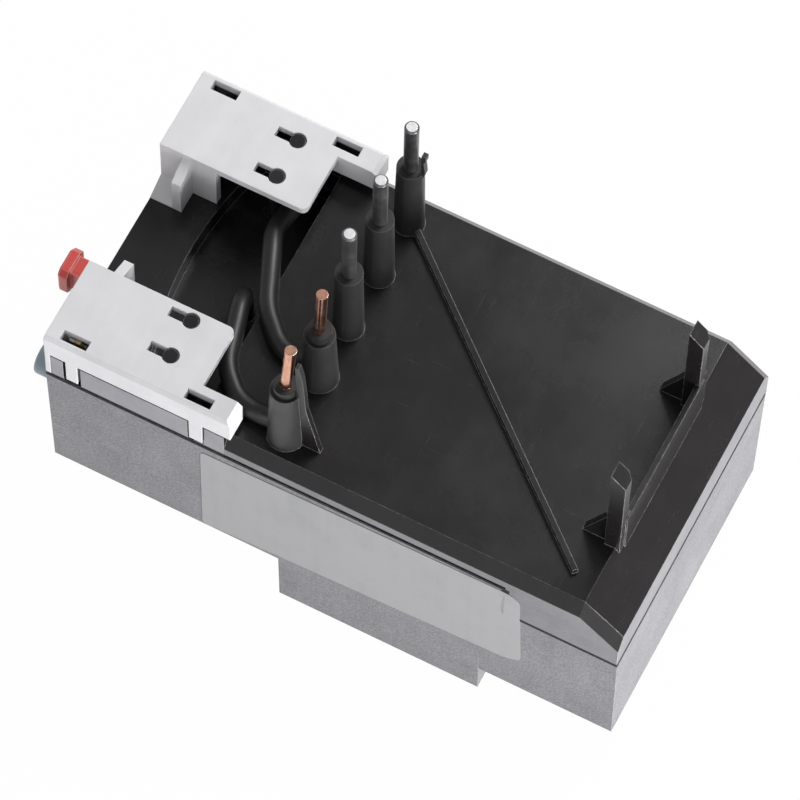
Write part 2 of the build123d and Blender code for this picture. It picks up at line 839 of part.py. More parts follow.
def trip_lever():
    """Hub on the axle, with the output arm that moves the contact carrier."""
    x, setback = lever_axle
    y = front + setback
    z_range = (deck - lever_bottom, deck - lever_top)
    arm_z = (z_range[0], z_range[0] + lever_arm_height)
    hub = rod_z(x, y, *z_range, lever_hub_radius)
    arm = block((lever_output_x, x), span(y, lever_arm), arm_z)
    tip = rod_z(lever_output_x, y, *arm_z, lever_tip_radius)
    return hub + arm + tip - rod_z(x, y, z_range[0] - 1, z_range[1] + 1, axle_radius + lever_fit)


def compensation_strip():
    """Second bimetal strip, clipped on the lever, that cancels the room's temperature."""
    x, setback = lever_axle
    y = front + setback
    strip = block(span(x, strip_thickness), (y, front + lever_input_end), (deck - strip_drop, deck - lever_top))
    return strip - rod_z(x, y, 0, deck, lever_hub_radius)


def contact_carrier():
    """Slider with a slot for the contact blade and a fork around the lever's tip."""
    y = front + carrier_row
    z = deck - carrier_drop
    low = z - carrier_height / 2
    body = block(span(0, carrier_width), (y, y + carrier_depth), (low, low + carrier_height))
    blade_y = front + blade_row
    slot = block(span(0, carrier_width + 2), (blade_y - 0.02, blade_y + blade_thickness + 0.02),
                 span(z, blade_height + 0.04))
    tip_y = front + lever_axle[1]
    window_half = lever_tip_radius + lever_fit
    arm_z = (low, deck - lever_bottom + lever_arm_height)
    arm = block((0.4, lever_output_x + lever_tip_radius),
                (y + carrier_depth - 0.5, tip_y + window_half + fork_wall), arm_z)
    window = block((lever_output_x - lever_tip_radius - lever_fit, lever_output_x + 3),
                   (tip_y - window_half, tip_y + window_half), arm_z)
    return body - slot + (arm - window)


def contact_blade():
    """Moving contact spring, held in the carrier."""
    blade_y = front + blade_row
    z = deck - carrier_drop
    leaf = block(span(0, 2 * blade_half_length), (blade_y, blade_y + blade_thickness), span(z, blade_height))
    for side in (-1, 1):
        leaf += rod_y(side * contact_x, z, blade_y - 0.3, blade_y + 0.1, contact_button_radius)
    return leaf


def carrier_rail():
    """Guide rail in the housing that carries the contact carrier."""
    top = deck - carrier_drop - carrier_height / 2 - lever_fit
    return block(span(0, carrier_width), (front + carrier_row - carrier_travel, front + lever_axle[1] + 2),
                 (floor_z - 0.2, top))


# Front controls

def setting_dial():
    dial = rod_y(dial_x, dial_z, front + 0.3, front + dial_depth - 0.05, dial_radius)
    shaft = rod_y(dial_x, dial_z, front + dial_depth - 0.05, front + dial_shaft_length, dial_shaft_radius)
    slot = block(span(dial_x, 1.6 * dial_radius), (front, front + 0.3 + dial_slot[1]),
                 span(dial_z, dial_slot[0]))
    cam_y = (front + dial_shaft_length - cam_width, front + dial_shaft_length)
    cam = rod_y(dial_x + cam_offset, dial_z, *cam_y, cam_radius)
    return dial + shaft + cam - slot


def test_button():
    """Paddle on a narrower neck, with a collar behind the front wall."""
    z = test_axis_z()
    head = block(span(test_x, test_size[0]), (front - test_reach, front - test_reach + test_head),
                 span(z, test_size[1]))
    head = chamfer(head.edges().filter_by(Axis.Y), 0.8)
    head = chamfer(head.edges().group_by(Axis.Y)[0], 0.3)
    neck = block(span(test_x, test_neck[0]), (front - test_reach + test_head, front + button_stem_end),
                 span(z, test_neck[1]))
    collar_y = (front + front_wall + seat, front + front_wall + seat + collar)
    flange = block(span(test_x, test_neck[0] + 2 * collar), collar_y, span(z, test_neck[1] + collar))
    return head + neck + flange


def reset_button():
    z = deck - reset_drop
    stem = rod_y(reset_x, z, front - reset_reach, front + button_stem_end, reset_radius)
    stem = fillet(stem.edges().sort_by(Axis.Y)[0], 0.5)
    collar_y = (front + front_wall + seat, front + front_wall + seat + collar)
    flange = rod_y(reset_x, z, *collar_y, reset_radius + 0.7)
    return stem + (flange & block((0, inner_half - 0.2), collar_y, (0, deck)))


def button_spring(x, z):
    start = front + button_stem_end + spring_wire + 0.02
    end = front + spring_end - spring_wire - 0.02
    length = end - start
    coil = Helix(pitch=length / spring_turns, height=length, radius=spring_radius)
    section = Plane(origin=coil @ 0, z_dir=coil % 0) * Circle(spring_wire)
    return Pos(x, start, z) * Rot(-90, 0, 0) * sweep(section, path=coil)


# Control wires

def coil_route():
    """Corner points of the wire from the fourth sleeve, under the left terminal cover."""
    z = deck + wire_radius + wire_rest
    return [
        (wire_x[0], pins_y, deck + wire_ring_height[0]), (wire_x[0], pins_y, z), (7.4, pins_y - 6.2, z),
        (3.2, pins_y - 10.4, z), (-7.8, pins_y - 15.2, z - 0.7), (-15.6, pins_y - 14.2, z - 1.8),
        (-15.6, pins_y - 14.2, well - 4.0),
    ]


def contact_route():
    """Corner points of the wire from the fifth sleeve, which turns down into the well."""
    z = deck + wire_radius + wire_rest
    return [
        (wire_x[1], pins_y, deck + wire_ring_height[1]), (wire_x[1], pins_y, z), (16.9, pins_y - 7.4, z),
        (13.2, pins_y - 11.2, z), (1.4, pins_y - 14.8, z - 1.5), (1.4, pins_y - 14.8, well - 4.0),
    ]


def corner_radii(points):
    """Largest arcs that fit, sharing each run evenly between the corners at its two ends."""
    corners = [0.0]
    for before, here, after in zip(points, points[1:], points[2:]):
        incoming = Vector(*here) - Vector(*before)
        outgoing = Vector(*after) - Vector(*here)
        corners.append(math.tan(math.radians(incoming.get_angle(outgoing)) / 2))
    corners.append(0.0)
    limits = []
    for i, (start, end) in enumerate(zip(points, points[1:])):
        length = (Vector(*end) - Vector(*start)).length
        limits.append(0.95 * length / (corners[i] + corners[i + 1]))
    radii = [min(pair) for pair in zip(limits, limits[1:])]
    return radii[:-1] + [min(radii[-1], elbow_radius)]


def wire_path(points, name):
    radii = corner_radii(points)
    print(name, "bend radii", [round(radius, 1) for radius in radii])
    return FilletPolyline(*points, radius=radii)


def wire_jacket(points, sleeve_height_here, name):
    """Insulation with the thicker ring that stands on the sleeve's rim."""
    path = wire_path(points, name)
    section = Plane(origin=path @ 0, z_dir=path % 0) * (Circle(wire_radius) - Circle(wire_core_radius))
    x, y, z = points[0]
    ring = rod_z(x, y, deck + sleeve_height_here + seat, z, wire_ring_radius)
    return sweep(section, path=path) + (ring - rod_z(x, y, deck, z + 1, wire_core_radius))


def wire_core(points, lean, name):
    path = wire_path(points, name)
    section = Plane(origin=path @ 0, z_dir=path % 0) * Circle(wire_core_radius)
    inner = sweep(section, path=path)
    x, y, z = points[0]
    tip = Vector(x + lean[0], y + lean[1], deck + wire_tip_height)
    straight = Plane(origin=(x, y, z), z_dir=tip - Vector(x, y, z))
    bare = Pos(0, 0, (tip - Vector(x, y, z)).length / 2) * Cylinder(
        wire_core_radius, (tip - Vector(x, y, z)).length)
    return inner + straight * bare


def build():
    wires = {
        "coil_wire": (coil_route(), wire_tip_lean[0], wire_sleeve_heights[0]),
        "contact_wire": (contact_route(), wire_tip_lean[1], wire_sleeve_heights[1]),
    }
    nodes = {
        "base_housing": base_housing() + carrier_rail(),
        "load_terminal_block": load_terminal_block(),
        "top_cover": top_cover(),
        "terminal_cover_right": terminal_cover(1),
        "terminal_cover_left": terminal_cover(-1),
        "control_screws": group([control_screw(x) for x in control_places()]),
        "control_clamp_plates": group([control_washer(x) for x in control_places()]),
        "load_screws": group([load_screw(x) for x in pole_x]),
        "load_clamp_cages": group([load_cage(x) for x in pole_x]),
        "trip_slide": trip_slide(),
        "differential_slide": slide_plate(1),
        "trip_lever": trip_lever(),
        "compensation_strip": compensation_strip(),
        "contact_carrier": contact_carrier(),
        "contact_blade": contact_blade(),
        "setting_dial": setting_dial(),
        "test_button": test_button(),
        "reset_button": reset_button(),
        "test_button_spring": button_spring(test_x, test_spring_z()),
        "reset_button_spring": button_spring(reset_x, deck - reset_drop),
    }
    strip_names = ["left_outer", "left_inner", "right_inner", "right_outer"]
    for name, x in zip(strip_names, sorted(control_places())):
        nodes["terminal_strip_" + name] = control_strip_piece(x)
    for number, (x, pole) in enumerate(zip(pin_x, pole_x), start=1):
        nodes[f"line_pin_{number}"] = line_pin(x, pole)
        nodes[f"bimetal_{number}"] = bimetal(pole)
        nodes[f"heater_{number}"] = heater(pole)
        nodes[f"load_bar_{number}"] = load_bar(pole)
    for name, (points, lean, height) in wires.items():
        nodes[name + "_jacket"] = wire_jacket(points, height, name)
        nodes[name + "_core"] = wire_core(points, lean, name)
    return nodes


os.makedirs("parts", exist_ok=True)
for node, shape in build().items():
    export_step(shape, f"parts/{node}.step")
    print(node, len(shape.solids()), round(shape.volume, 1))
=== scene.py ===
import math
import bpy
import bmesh
from mathutils import Matrix, Vector


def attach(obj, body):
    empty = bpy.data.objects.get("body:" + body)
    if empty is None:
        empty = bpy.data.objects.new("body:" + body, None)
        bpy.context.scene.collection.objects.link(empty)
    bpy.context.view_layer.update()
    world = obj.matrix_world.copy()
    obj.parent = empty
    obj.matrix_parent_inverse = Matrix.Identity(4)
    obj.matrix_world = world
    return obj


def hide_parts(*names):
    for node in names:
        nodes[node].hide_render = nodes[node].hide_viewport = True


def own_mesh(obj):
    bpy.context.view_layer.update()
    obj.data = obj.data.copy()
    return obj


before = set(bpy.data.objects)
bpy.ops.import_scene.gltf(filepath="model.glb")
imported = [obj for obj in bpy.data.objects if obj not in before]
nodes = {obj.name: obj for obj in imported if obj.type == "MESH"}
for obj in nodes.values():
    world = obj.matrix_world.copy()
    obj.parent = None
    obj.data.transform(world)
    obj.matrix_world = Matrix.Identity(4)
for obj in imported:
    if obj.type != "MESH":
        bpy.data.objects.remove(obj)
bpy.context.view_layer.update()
mm = 0.001
print("relay: frame loaded,", len(nodes), "nodes")


def clamped(value):
    return min(max(value, 0), 1)


def placeObject(name, data):
    piece = bpy.data.objects.new(name, data)
    bpy.context.scene.collection.objects.link(piece)
    return piece


# turns a mesh drawn in millimetres into an object of the scene
def placeMesh(name, mesh):
    bmesh.ops.scale(mesh, vec=(mm, mm, mm), verts=mesh.verts)
    data = bpy.data.meshes.new(name)
    mesh.to_mesh(data)
    mesh.free()
    return placeObject(name, data)


# shader building blocks

def addNode(tree, kind, place, **sockets):
    node = tree.nodes.new(kind)
    node.location = place
    for key, value in sockets.items():
        node.inputs[key.replace("_", " ")].default_value = value
    return node


def makeGroup(name, inputs, outputs):
    tree = bpy.data.node_groups.new(name, "ShaderNodeTree")
    for label, kind, value in inputs:
        socket = tree.interface.new_socket(name=label, in_out="INPUT", socket_type=kind)
        if value is not None:
            socket.default_value = value
    for label, kind in outputs:
        tree.interface.new_socket(name=label, in_out="OUTPUT", socket_type=kind)
    start = tree.nodes.new("NodeGroupInput")
    start.location = (-900, 0)
    end = tree.nodes.new("NodeGroupOutput")
    end.location = (900, 0)
    return tree, start, end


# object coordinates counted in millimetres
def millimetres(tree, place):
    coords = addNode(tree, "ShaderNodeTexCoord", place)
    scale = addNode(tree, "ShaderNodeVectorMath", (place[0] + 180, place[1]))
    scale.operation = "SCALE"
    scale.inputs["Scale"].default_value = 1 / mm
    tree.links.new(coords.outputs["Object"], scale.inputs[0])
    return scale.outputs[0]


def mathNode(tree, operation, place, first, second=None, clamp=False):
    node = addNode(tree, "ShaderNodeMath", place)
    node.operation = operation
    node.use_clamp = clamp
    for slot, value in enumerate((first, second)):
        if value is None:
            continue
        if isinstance(value, (int, float)):
            node.inputs[slot].default_value = value
        else:
            tree.links.new(value, node.inputs[slot])
    return node.outputs[0]


def noiseNode(tree, coords, place, scale, detail=2.0, roughness=0.5):
    node = addNode(tree, "ShaderNodeTexNoise", place, Detail=detail, Roughness=roughness)
    tree.links.new(coords, node.inputs["Vector"])
    if isinstance(scale, (int, float)):
        node.inputs["Scale"].default_value = scale
    else:
        tree.links.new(scale, node.inputs["Scale"])
    return node.outputs["Fac"]


# spreads a value between two limits over 0 to 1
def rampNode(tree, value, place, low, high):
    node = addNode(tree, "ShaderNodeMapRange", place)
    node.inputs["From Min"].default_value = low
    node.inputs["From Max"].default_value = high
    tree.links.new(value, node.inputs["Value"])
    return node.outputs["Result"]


# stretches coordinates by three fixed factors, or by those of another node
def stretched(tree, coords, place, factors):
    node = addNode(tree, "ShaderNodeVectorMath", place)
    node.operation = "MULTIPLY"
    tree.links.new(coords, node.inputs[0])
    if isinstance(factors, tuple):
        node.inputs[1].default_value = factors
    else:
        tree.links.new(factors, node.inputs[1])
    return node.outputs[0]


# how far a value is from a level, on either side of it
def distanceFrom(tree, value, level, place):
    gap = mathNode(tree, "SUBTRACT", place, value, level)
    return mathNode(tree, "ABSOLUTE", (place[0] + 140, place[1]), gap)


# In the groups below a scale is a count per millimetre, and a pair of numbers
# is where a mask starts and where it is full.


edgeWear = {"samples": 6, "turn": (0.01, 0.22), "chipScale": 1.3, "chips": (0.38, 0.62)}


# rounds the sharp moulded edges and finds them for wear and for a painted highlight along them
def buildRoundedEdges():
    tree, start, end = makeGroup("roundedEdges",
                                 [("Radius", "NodeSocketFloat", 0.0002),
                                  ("Breakup", "NodeSocketFloat", 0.5)],
                                 [("Normal", "NodeSocketVector"), ("Edge", "NodeSocketFloat")])
    bevel = addNode(tree, "ShaderNodeBevel", (-500, 120))
    bevel.samples = edgeWear["samples"]
    tree.links.new(start.outputs["Radius"], bevel.inputs["Radius"])
    geometry = addNode(tree, "ShaderNodeNewGeometry", (-500, -80))
    dot = addNode(tree, "ShaderNodeVectorMath", (-300, 0))
    dot.operation = "DOT_PRODUCT"
    tree.links.new(bevel.outputs[0], dot.inputs[0])
    tree.links.new(geometry.outputs["Normal"], dot.inputs[1])
    turned = mathNode(tree, "SUBTRACT", (-100, 0), 1.0, dot.outputs["Value"])
    mask = rampNode(tree, turned, (80, 0), *edgeWear["turn"])
    coords = millimetres(tree, (-500, -260))
    patches = noiseNode(tree, coords, (-120, -260), edgeWear["chipScale"], detail=4.0, roughness=0.6)
    chips = rampNode(tree, patches, (80, -260), *edgeWear["chips"])
    kept = mathNode(tree, "MULTIPLY", (260, -260), chips, start.outputs["Breakup"])
    rest = mathNode(tree, "SUBTRACT", (420, -260), 1.0, kept, clamp=True)
    edge = mathNode(tree, "MULTIPLY", (600, 0), mask, rest, clamp=True)
    tree.links.new(bevel.outputs[0], end.inputs["Normal"])
    tree.links.new(edge, end.inputs["Edge"])
    return tree


grainShape = {
    "pitDepth": 0.6, "hollowScale": 0.035, "cloudScale": 0.16, "flowStretch": (0.05, 0.6, 0.05),
    "mottle": (0.35, 0.95),
}


# the fine sparked texture of a mould, with the plastic's own mottle
def buildMouldGrain():
    tree, start, end = makeGroup("mouldGrain",
                                 [("Grains per mm", "NodeSocketFloat", 4.0),
                                  ("Flow marks", "NodeSocketFloat", 0.3),
                                  ("Sink marks", "NodeSocketFloat", 0.0),
                                  ("Speckle", "NodeSocketFloat", 0.35),
                                  ("Clouds", "NodeSocketFloat", 1.0)],
                                 [("Height", "NodeSocketFloat"), ("Mottle", "NodeSocketFloat")])
    coords = millimetres(tree, (-700, 0))
    fine = noiseNode(tree, coords, (-300, 160), start.outputs["Grains per mm"], detail=3.0, roughness=0.6)
    cells = addNode(tree, "ShaderNodeTexVoronoi", (-300, -40))
    tree.links.new(coords, cells.inputs["Vector"])
    tree.links.new(start.outputs["Grains per mm"], cells.inputs["Scale"])
    pits = mathNode(tree, "MULTIPLY", (-60, -40), cells.outputs["Distance"], grainShape["pitDepth"])
    hollows = noiseNode(tree, coords, (-300, 340), grainShape["hollowScale"], detail=1.0)
    sunk = mathNode(tree, "MULTIPLY", (-60, 300), hollows, start.outputs["Sink marks"])
    height = mathNode(tree, "ADD", (320, 160), mathNode(tree, "ADD", (160, 100), fine, pits), sunk)
    clouds = noiseNode(tree, coords, (-360, -280), grainShape["cloudScale"], detail=4.0, roughness=0.62)
    spread = mathNode(tree, "SUBTRACT", (-180, -240), clouds, 0.5)
    clouded = mathNode(tree, "MULTIPLY", (-60, -240), spread, start.outputs["Clouds"])
    broad = mathNode(tree, "ADD", (40, -240), clouded, 0.5)
    streaks = stretched(tree, coords, (-480, -460), grainShape["flowStretch"])
    flow = noiseNode(tree, streaks, (-300, -460), 1.0, detail=3.0)
    mixed = mathNode(tree, "MULTIPLY", (-60, -460), flow, start.outputs["Flow marks"])
    centred = mathNode(tree, "SUBTRACT", (-180, -620), fine, 0.5)
    speckle = mathNode(tree, "MULTIPLY", (-60, -620), centred, start.outputs["Speckle"])
    mottle = mathNode(tree, "ADD", (160, -340), mathNode(tree, "ADD", (40, -400), broad, mixed), speckle)
    tree.links.new(height, end.inputs["Height"])
    tree.links.new(rampNode(tree, mottle, (420, -340), *grainShape["mottle"]), end.inputs["Mottle"])
    return tree


handlingWear = {
    "smudges": (0.42, 0.72),
    "along": {"stretch": (0.12, 3.5, 3.5), "lines": (0.66, 0.7)},
    "across": {"stretch": (4.1, 0.1, 4.1), "lines": (0.67, 0.71)},
    "patchScale": 0.3, "patches": (0.5, 0.6), "speckScale": 0.8, "specks": (0.075, 0.03),
}


# smudges, hairline scratches and a little dust from handling
def buildHandling():
    tree, start, end = makeGroup("handlingMarks",
                                 [("Smudge size", "NodeSocketFloat", 0.12),
                                  ("Dust amount", "NodeSocketFloat", 0.4)],
                                 [("Smudge", "NodeSocketFloat"), ("Scratch", "NodeSocketFloat"),
                                  ("Dust", "NodeSocketFloat")])
    coords = millimetres(tree, (-800, 0))
    grease = noiseNode(tree, coords, (-400, 200), start.outputs["Smudge size"], detail=5.0, roughness=0.66)
    smudge = rampNode(tree, grease, (-100, 200), *handlingWear["smudges"])
    hairlines = []
    for row, way in ((-20, "along"), (-220, "across")):
        drawn = stretched(tree, coords, (-600, row), handlingWear[way]["stretch"])
        fibres = noiseNode(tree, drawn, (-400, row), 1.0, roughness=0.4)
        hairlines.append(rampNode(tree, fibres, (-240, row), *handlingWear[way]["lines"]))
    lines = mathNode(tree, "MAXIMUM", (-160, -100), *hairlines)
    touched = noiseNode(tree, coords, (-400, -420), handlingWear["patchScale"])
    places = rampNode(tree, touched, (-160, -420), *handlingWear["patches"])
    scratch = mathNode(tree, "MULTIPLY", (60, -200), lines, places, clamp=True)
    specks = addNode(tree, "ShaderNodeTexVoronoi", (-400, -640), Scale=handlingWear["speckScale"])
    tree.links.new(coords, specks.inputs["Vector"])
    dots = rampNode(tree, specks.outputs["Distance"], (-160, -640), *handlingWear["specks"])
    dust = mathNode(tree, "MULTIPLY", (100, -640), dots, start.outputs["Dust amount"], clamp=True)
    tree.links.new(smudge, end.inputs["Smudge"])
    tree.links.new(scratch, end.inputs["Scratch"])
    tree.links.new(dust, end.inputs["Dust"])
    return tree


tarnishSpread = (0.4, 0.7)


# drawn, rolled or turned metal: fine lines along one direction and blotches of tarnish
def buildDrawnMetal():
    tree, start, end = makeGroup("drawnMetal",
                                 [("Lines", "NodeSocketVector", (6.0, 6.0, 0.25)),
                                  ("Tarnish size", "NodeSocketFloat", 0.5)],
                                 [("Height", "NodeSocketFloat"), ("Tarnish", "NodeSocketFloat")])
    coords = millimetres(tree, (-800, 0))
    drawn = stretched(tree, coords, (-560, 0), start.outputs["Lines"])
    lines = noiseNode(tree, drawn, (-300, 100), 1.0, detail=4.0, roughness=0.6)
    blotch = noiseNode(tree, coords, (-300, -160), start.outputs["Tarnish size"], detail=5.0, roughness=0.65)
    tree.links.new(lines, end.inputs["Height"])
    tree.links.new(rampNode(tree, blotch, (0, -160), *tarnishSpread), end.inputs["Tarnish"])
    return tree


seamShadeShape = {"frontHeight": 37.65, "rearHeight": 29.95, "stepPlace": 28.9, "fade": (0.66, 0.52)}


# painted shade in a band along the join where the lid's skirt meets the housing, and up the step in it
def buildSeamShade():
    tree, start, end = makeGroup("seamShadeBand",
                                 [("Front height", "NodeSocketFloat", seamShadeShape["frontHeight"]),
                                  ("Rear height", "NodeSocketFloat", seamShadeShape["rearHeight"]),
                                  ("Step place", "NodeSocketFloat", seamShadeShape["stepPlace"])],
                                 [("Seam", "NodeSocketFloat")])
    parts = addNode(tree, "ShaderNodeSeparateXYZ", (-600, 0))
    tree.links.new(millimetres(tree, (-1000, 0)), parts.inputs[0])
    behind = mathNode(tree, "GREATER_THAN", (-400, 160), parts.outputs["Y"], start.outputs["Step place"])
    fall = mathNode(tree, "SUBTRACT", (-400, 0), start.outputs["Rear height"], start.outputs["Front height"])
    drop = mathNode(tree, "MULTIPLY", (-220, 80), behind, fall)
    height = mathNode(tree, "ADD", (-60, 80), drop, start.outputs["Front height"])
    fromLine = distanceFrom(tree, parts.outputs["Z"], height, (80, 80))
    fromStep = distanceFrom(tree, parts.outputs["Y"], start.outputs["Step place"], (-220, -160))
    above = mathNode(tree, "GREATER_THAN", (-220, -320), parts.outputs["Z"], start.outputs["Rear height"])
    below = mathNode(tree, "LESS_THAN", (-220, -480), parts.outputs["Z"], start.outputs["Front height"])
    between = mathNode(tree, "MULTIPLY", (0, -400), above, below)
    line = rampNode(tree, fromLine, (400, 80), *seamShadeShape["fade"])
    step = rampNode(tree, fromStep, (60, -160), *seamShadeShape["fade"])
    seamShade = mathNode(tree, "MAXIMUM", (600, 0), line,
                    mathNode(tree, "MULTIPLY", (200, -240), step, between), clamp=True)
    tree.links.new(seamShade, end.inputs["Seam"])
    return tree


slotShade = {"level": 46.8, "fade": 0.4}


# shade that deepens below a level, for the inside of a slot
def buildDepthShade():
    tree, start, end = makeGroup("depthShade",
                                 [("Level", "NodeSocketFloat", slotShade["level"]),
                                  ("Fade", "NodeSocketFloat", slotShade["fade"])],
                                 [("Shade", "NodeSocketFloat")])
    parts = addNode(tree, "ShaderNodeSeparateXYZ", (-400, 0))
    tree.links.new(millimetres(tree, (-800, 0)), parts.inputs[0])
    depth = mathNode(tree, "SUBTRACT", (-200, 0), start.outputs["Level"], parts.outputs["Z"])
    shade = mathNode(tree, "DIVIDE", (0, 0), depth, start.outputs["Fade"], clamp=True)
    tree.links.new(shade, end.inputs["Shade"])
    return tree


groups = {
    "edges": buildRoundedEdges(),
    "seamShade": buildSeamShade(),
    "depth": buildDepthShade(),
    "grain": buildMouldGrain(),
    "handling": buildHandling(),
    "metal": buildDrawnMetal(),
}
print("relay: shader groups built")


# materials

def useGroup(tree, name, place, **values):
    node = tree.nodes.new("ShaderNodeGroup")
    node.node_tree = groups[name]
    node.location = place
    for key, value in values.items():
        node.inputs[key.replace("_", " ")].default_value = value
    return node


def blendColours(tree, factor, first, second, place):
    node = addNode(tree, "ShaderNodeMix", place)
    node.data_type = "RGBA"
    tree.links.new(factor, node.inputs["Factor"])
    for label, value in (("A", first), ("B", second)):
        socket = [s for s in node.inputs if s.name == label and s.type == "RGBA"][0]
        if isinstance(value, tuple):
            socket.default_value = value + (1.0,)
        else:
            tree.links.new(value, socket)
    return [s for s in node.outputs if s.type == "RGBA"][0]


def newMaterial(name):
    material = bpy.data.materials.new(name)
    material.use_nodes = True
    tree = material.node_tree
    return material, tree, tree.nodes["Principled BSDF"]


def useEdges(tree, look):
    radius = look["edgeRadius"] * mm
    return useGroup(tree, "edges", (-1100, -300), Radius=radius, Breakup=look["edgeBreakup"])


def useHandling(tree, look):
    size, dust = look["smudgeSize"], look["dust"]
    return useGroup(tree, "handling", (-1100, 400), Smudge_size=size, Dust_amount=dust)


# surface relief over the rounded edges
def bumpNode(tree, shader, height, edges, look):
    bump = addNode(tree, "ShaderNodeBump", (-200, -420), Strength=look["bump"])
    bump.inputs["Distance"].default_value = look["bumpDepth"] * mm
    tree.links.new(height, bump.inputs["Height"])
    tree.links.new(edges.outputs["Normal"], bump.inputs["Normal"])
    tree.links.new(bump.outputs[0], shader.inputs["Normal"])


# roughness that rises where hands left smudges
def smudgedRoughness(tree, marks, look):
    rough = mathNode(tree, "MULTIPLY_ADD", (-420, -100), marks.outputs["Smudge"], look["smudge"])
    rough.node.inputs[2].default_value = look["roughness"]
    return rough


scatterDepth = 1.2  # how far light goes into the buttons' plastic


def plastic(name, look):
    material, tree, shader = newMaterial(name)
    edges = useEdges(tree, look)
    grain = useGroup(tree, "grain", (-1100, 100), Grains_per_mm=look["grains"], Flow_marks=look["flow"],
                     Sink_marks=look["sink"], Speckle=look["speckle"], Clouds=look.get("clouds", 1.0))
    marks = useHandling(tree, look)
    mottled = blendColours(tree, grain.outputs["Mottle"], look["dark"], look["light"], (-800, 200))
    # edges are lightened: partly wear, partly a painted highlight where they catch light
    edgeWornAndLit = blendColours(tree, edges.outputs["Edge"], mottled, look["edge"], (-600, 200))
    scraped = mathNode(tree, "MULTIPLY", (-600, 500), marks.outputs["Scratch"], look["scratch"])
    scratched = blendColours(tree, scraped, edgeWornAndLit, look["edge"], (-420, 200))
    dusted = blendColours(tree, marks.outputs["Dust"], scratched, look["dustColour"], (-240, 200))
    # painted shade darkens a band along the lid's join
    if "seamShadeColour" in look:
        seamShade = useGroup(tree, "seamShade", (-420, 620))
        dusted = blendColours(tree, seamShade.outputs["Seam"], dusted, look["seamShadeColour"], (-60, 300))
    # painted shade darkens the insides of the covers' slots below a level
    if "depthShadeColour" in look:
        depth = useGroup(tree, "depth", (-420, 620))
        dusted = blendColours(tree, depth.outputs["Shade"], dusted, look["depthShadeColour"], (-60, 300))
    tree.links.new(dusted, shader.inputs["Base Color"])
    rough = mathNode(tree, "ADD", (-240, -100), smudgedRoughness(tree, marks, look), scraped, clamp=True)
    if "seamShadeColour" in look:
        rough = mathNode(tree, "MAXIMUM", (-80, -100), rough, seamShade.outputs["Seam"])
    tree.links.new(rough, shader.inputs["Roughness"])
    bumpNode(tree, shader, grain.outputs["Height"], edges, look)
    shader.inputs["IOR"].default_value = look["ior"]
    shader.inputs["Subsurface Weight"].default_value = look["subsurface"]
    shader.inputs["Subsurface Scale"].default_value = scatterDepth * mm
    return material


# what all the metals here have alike
metalWear = {
    "edgeBreakup": 0.3, "edgeShare": 0.5, "smudgeSize": 0.4, "smudge": 0.12, "dust": 0.1, "bumpDepth": 0.02,
}


def metal(name, look):
    look = {**metalWear, **look}
    material, tree, shader = newMaterial(name)
    edges = useEdges(tree, look)
    drawn = useGroup(tree, "metal", (-1100, 100), Lines=look["lines"], Tarnish_size=look["tarnishSize"])
    marks = useHandling(tree, look)
    shaded = blendColours(tree, drawn.outputs["Height"], look["dark"], look["light"], (-800, 200))
    dulled = mathNode(tree, "MULTIPLY", (-800, 420), drawn.outputs["Tarnish"], look["tarnish"])
    tarnished = blendColours(tree, dulled, shaded, look["tarnishColour"], (-600, 200))
    # rubbed edges are lightened: partly wear, partly a painted highlight
    rubbed = mathNode(tree, "MULTIPLY", (-600, 420), edges.outputs["Edge"], look["edgeShare"])
    edgeWornAndLit = blendColours(tree, rubbed, tarnished, look["light"], (-400, 200))
    tree.links.new(edgeWornAndLit, shader.inputs["Base Color"])
    tree.links.new(smudgedRoughness(tree, marks, look), shader.inputs["Roughness"])
    shader.inputs["Metallic"].default_value = 1.0
    bumpNode(tree, shader, drawn.outputs["Height"], edges, look)
    return material


# radii and depths are in millimetres, grains and lines are counts per millimetre
# the seam colour in these looks is painted shade along the join under the lid
housingLook = {
    "dark": (0.133, 0.1315, 0.143), "light": (0.256, 0.253, 0.273), "edge": (0.42, 0.42, 0.44),
    "roughness": 0.42, "smudge": 0.08, "smudgeSize": 0.06,
    "grains": 3.0, "flow": 0.2, "sink": 0.0, "speckle": 1.6, "clouds": 0.6,
    "bump": 0.6, "bumpDepth": 0.06, "edgeRadius": 0.14, "edgeBreakup": 0.6, "scratch": 0.1, "dust": 0.1,
    "dustColour": (0.5, 0.5, 0.52), "ior": 1.5, "subsurface": 0.0, "seamShadeColour": (0.012, 0.012, 0.013),
}
# on the black lid the edge colour is mostly a painted highlight along creases and post edges
lidLook = {
    "dark": (0.0075, 0.0066, 0.0071), "light": (0.0125, 0.011, 0.0118), "edge": (0.42, 0.415, 0.424),
    "roughness": 0.24, "smudge": 0.1, "smudgeSize": 0.045,
    "grains": 1.1, "flow": 0.5, "sink": 60.0, "speckle": 0.3,
    "bump": 0.1, "bumpDepth": 0.04, "edgeRadius": 0.16, "edgeBreakup": 0.7, "scratch": 0.02, "dust": 0.14,
    "dustColour": (0.1, 0.1, 0.105), "ior": 1.49, "subsurface": 0.0,
}
sleeveLook = {
    "dark": (0.016, 0.0155, 0.0165), "light": (0.025, 0.0243, 0.0258), "edge": (0.2, 0.198, 0.203),
    "roughness": 0.42, "smudge": 0.08, "smudgeSize": 0.2,
    "grains": 2.6, "flow": 0.3, "sink": 0.0, "speckle": 0.8,
    "bump": 0.25, "bumpDepth": 0.03, "edgeRadius": 0.13, "edgeBreakup": 0.4, "scratch": 0.03, "dust": 0.1,
    "dustColour": (0.12, 0.12, 0.125), "ior": 1.49, "subsurface": 0.0,
}
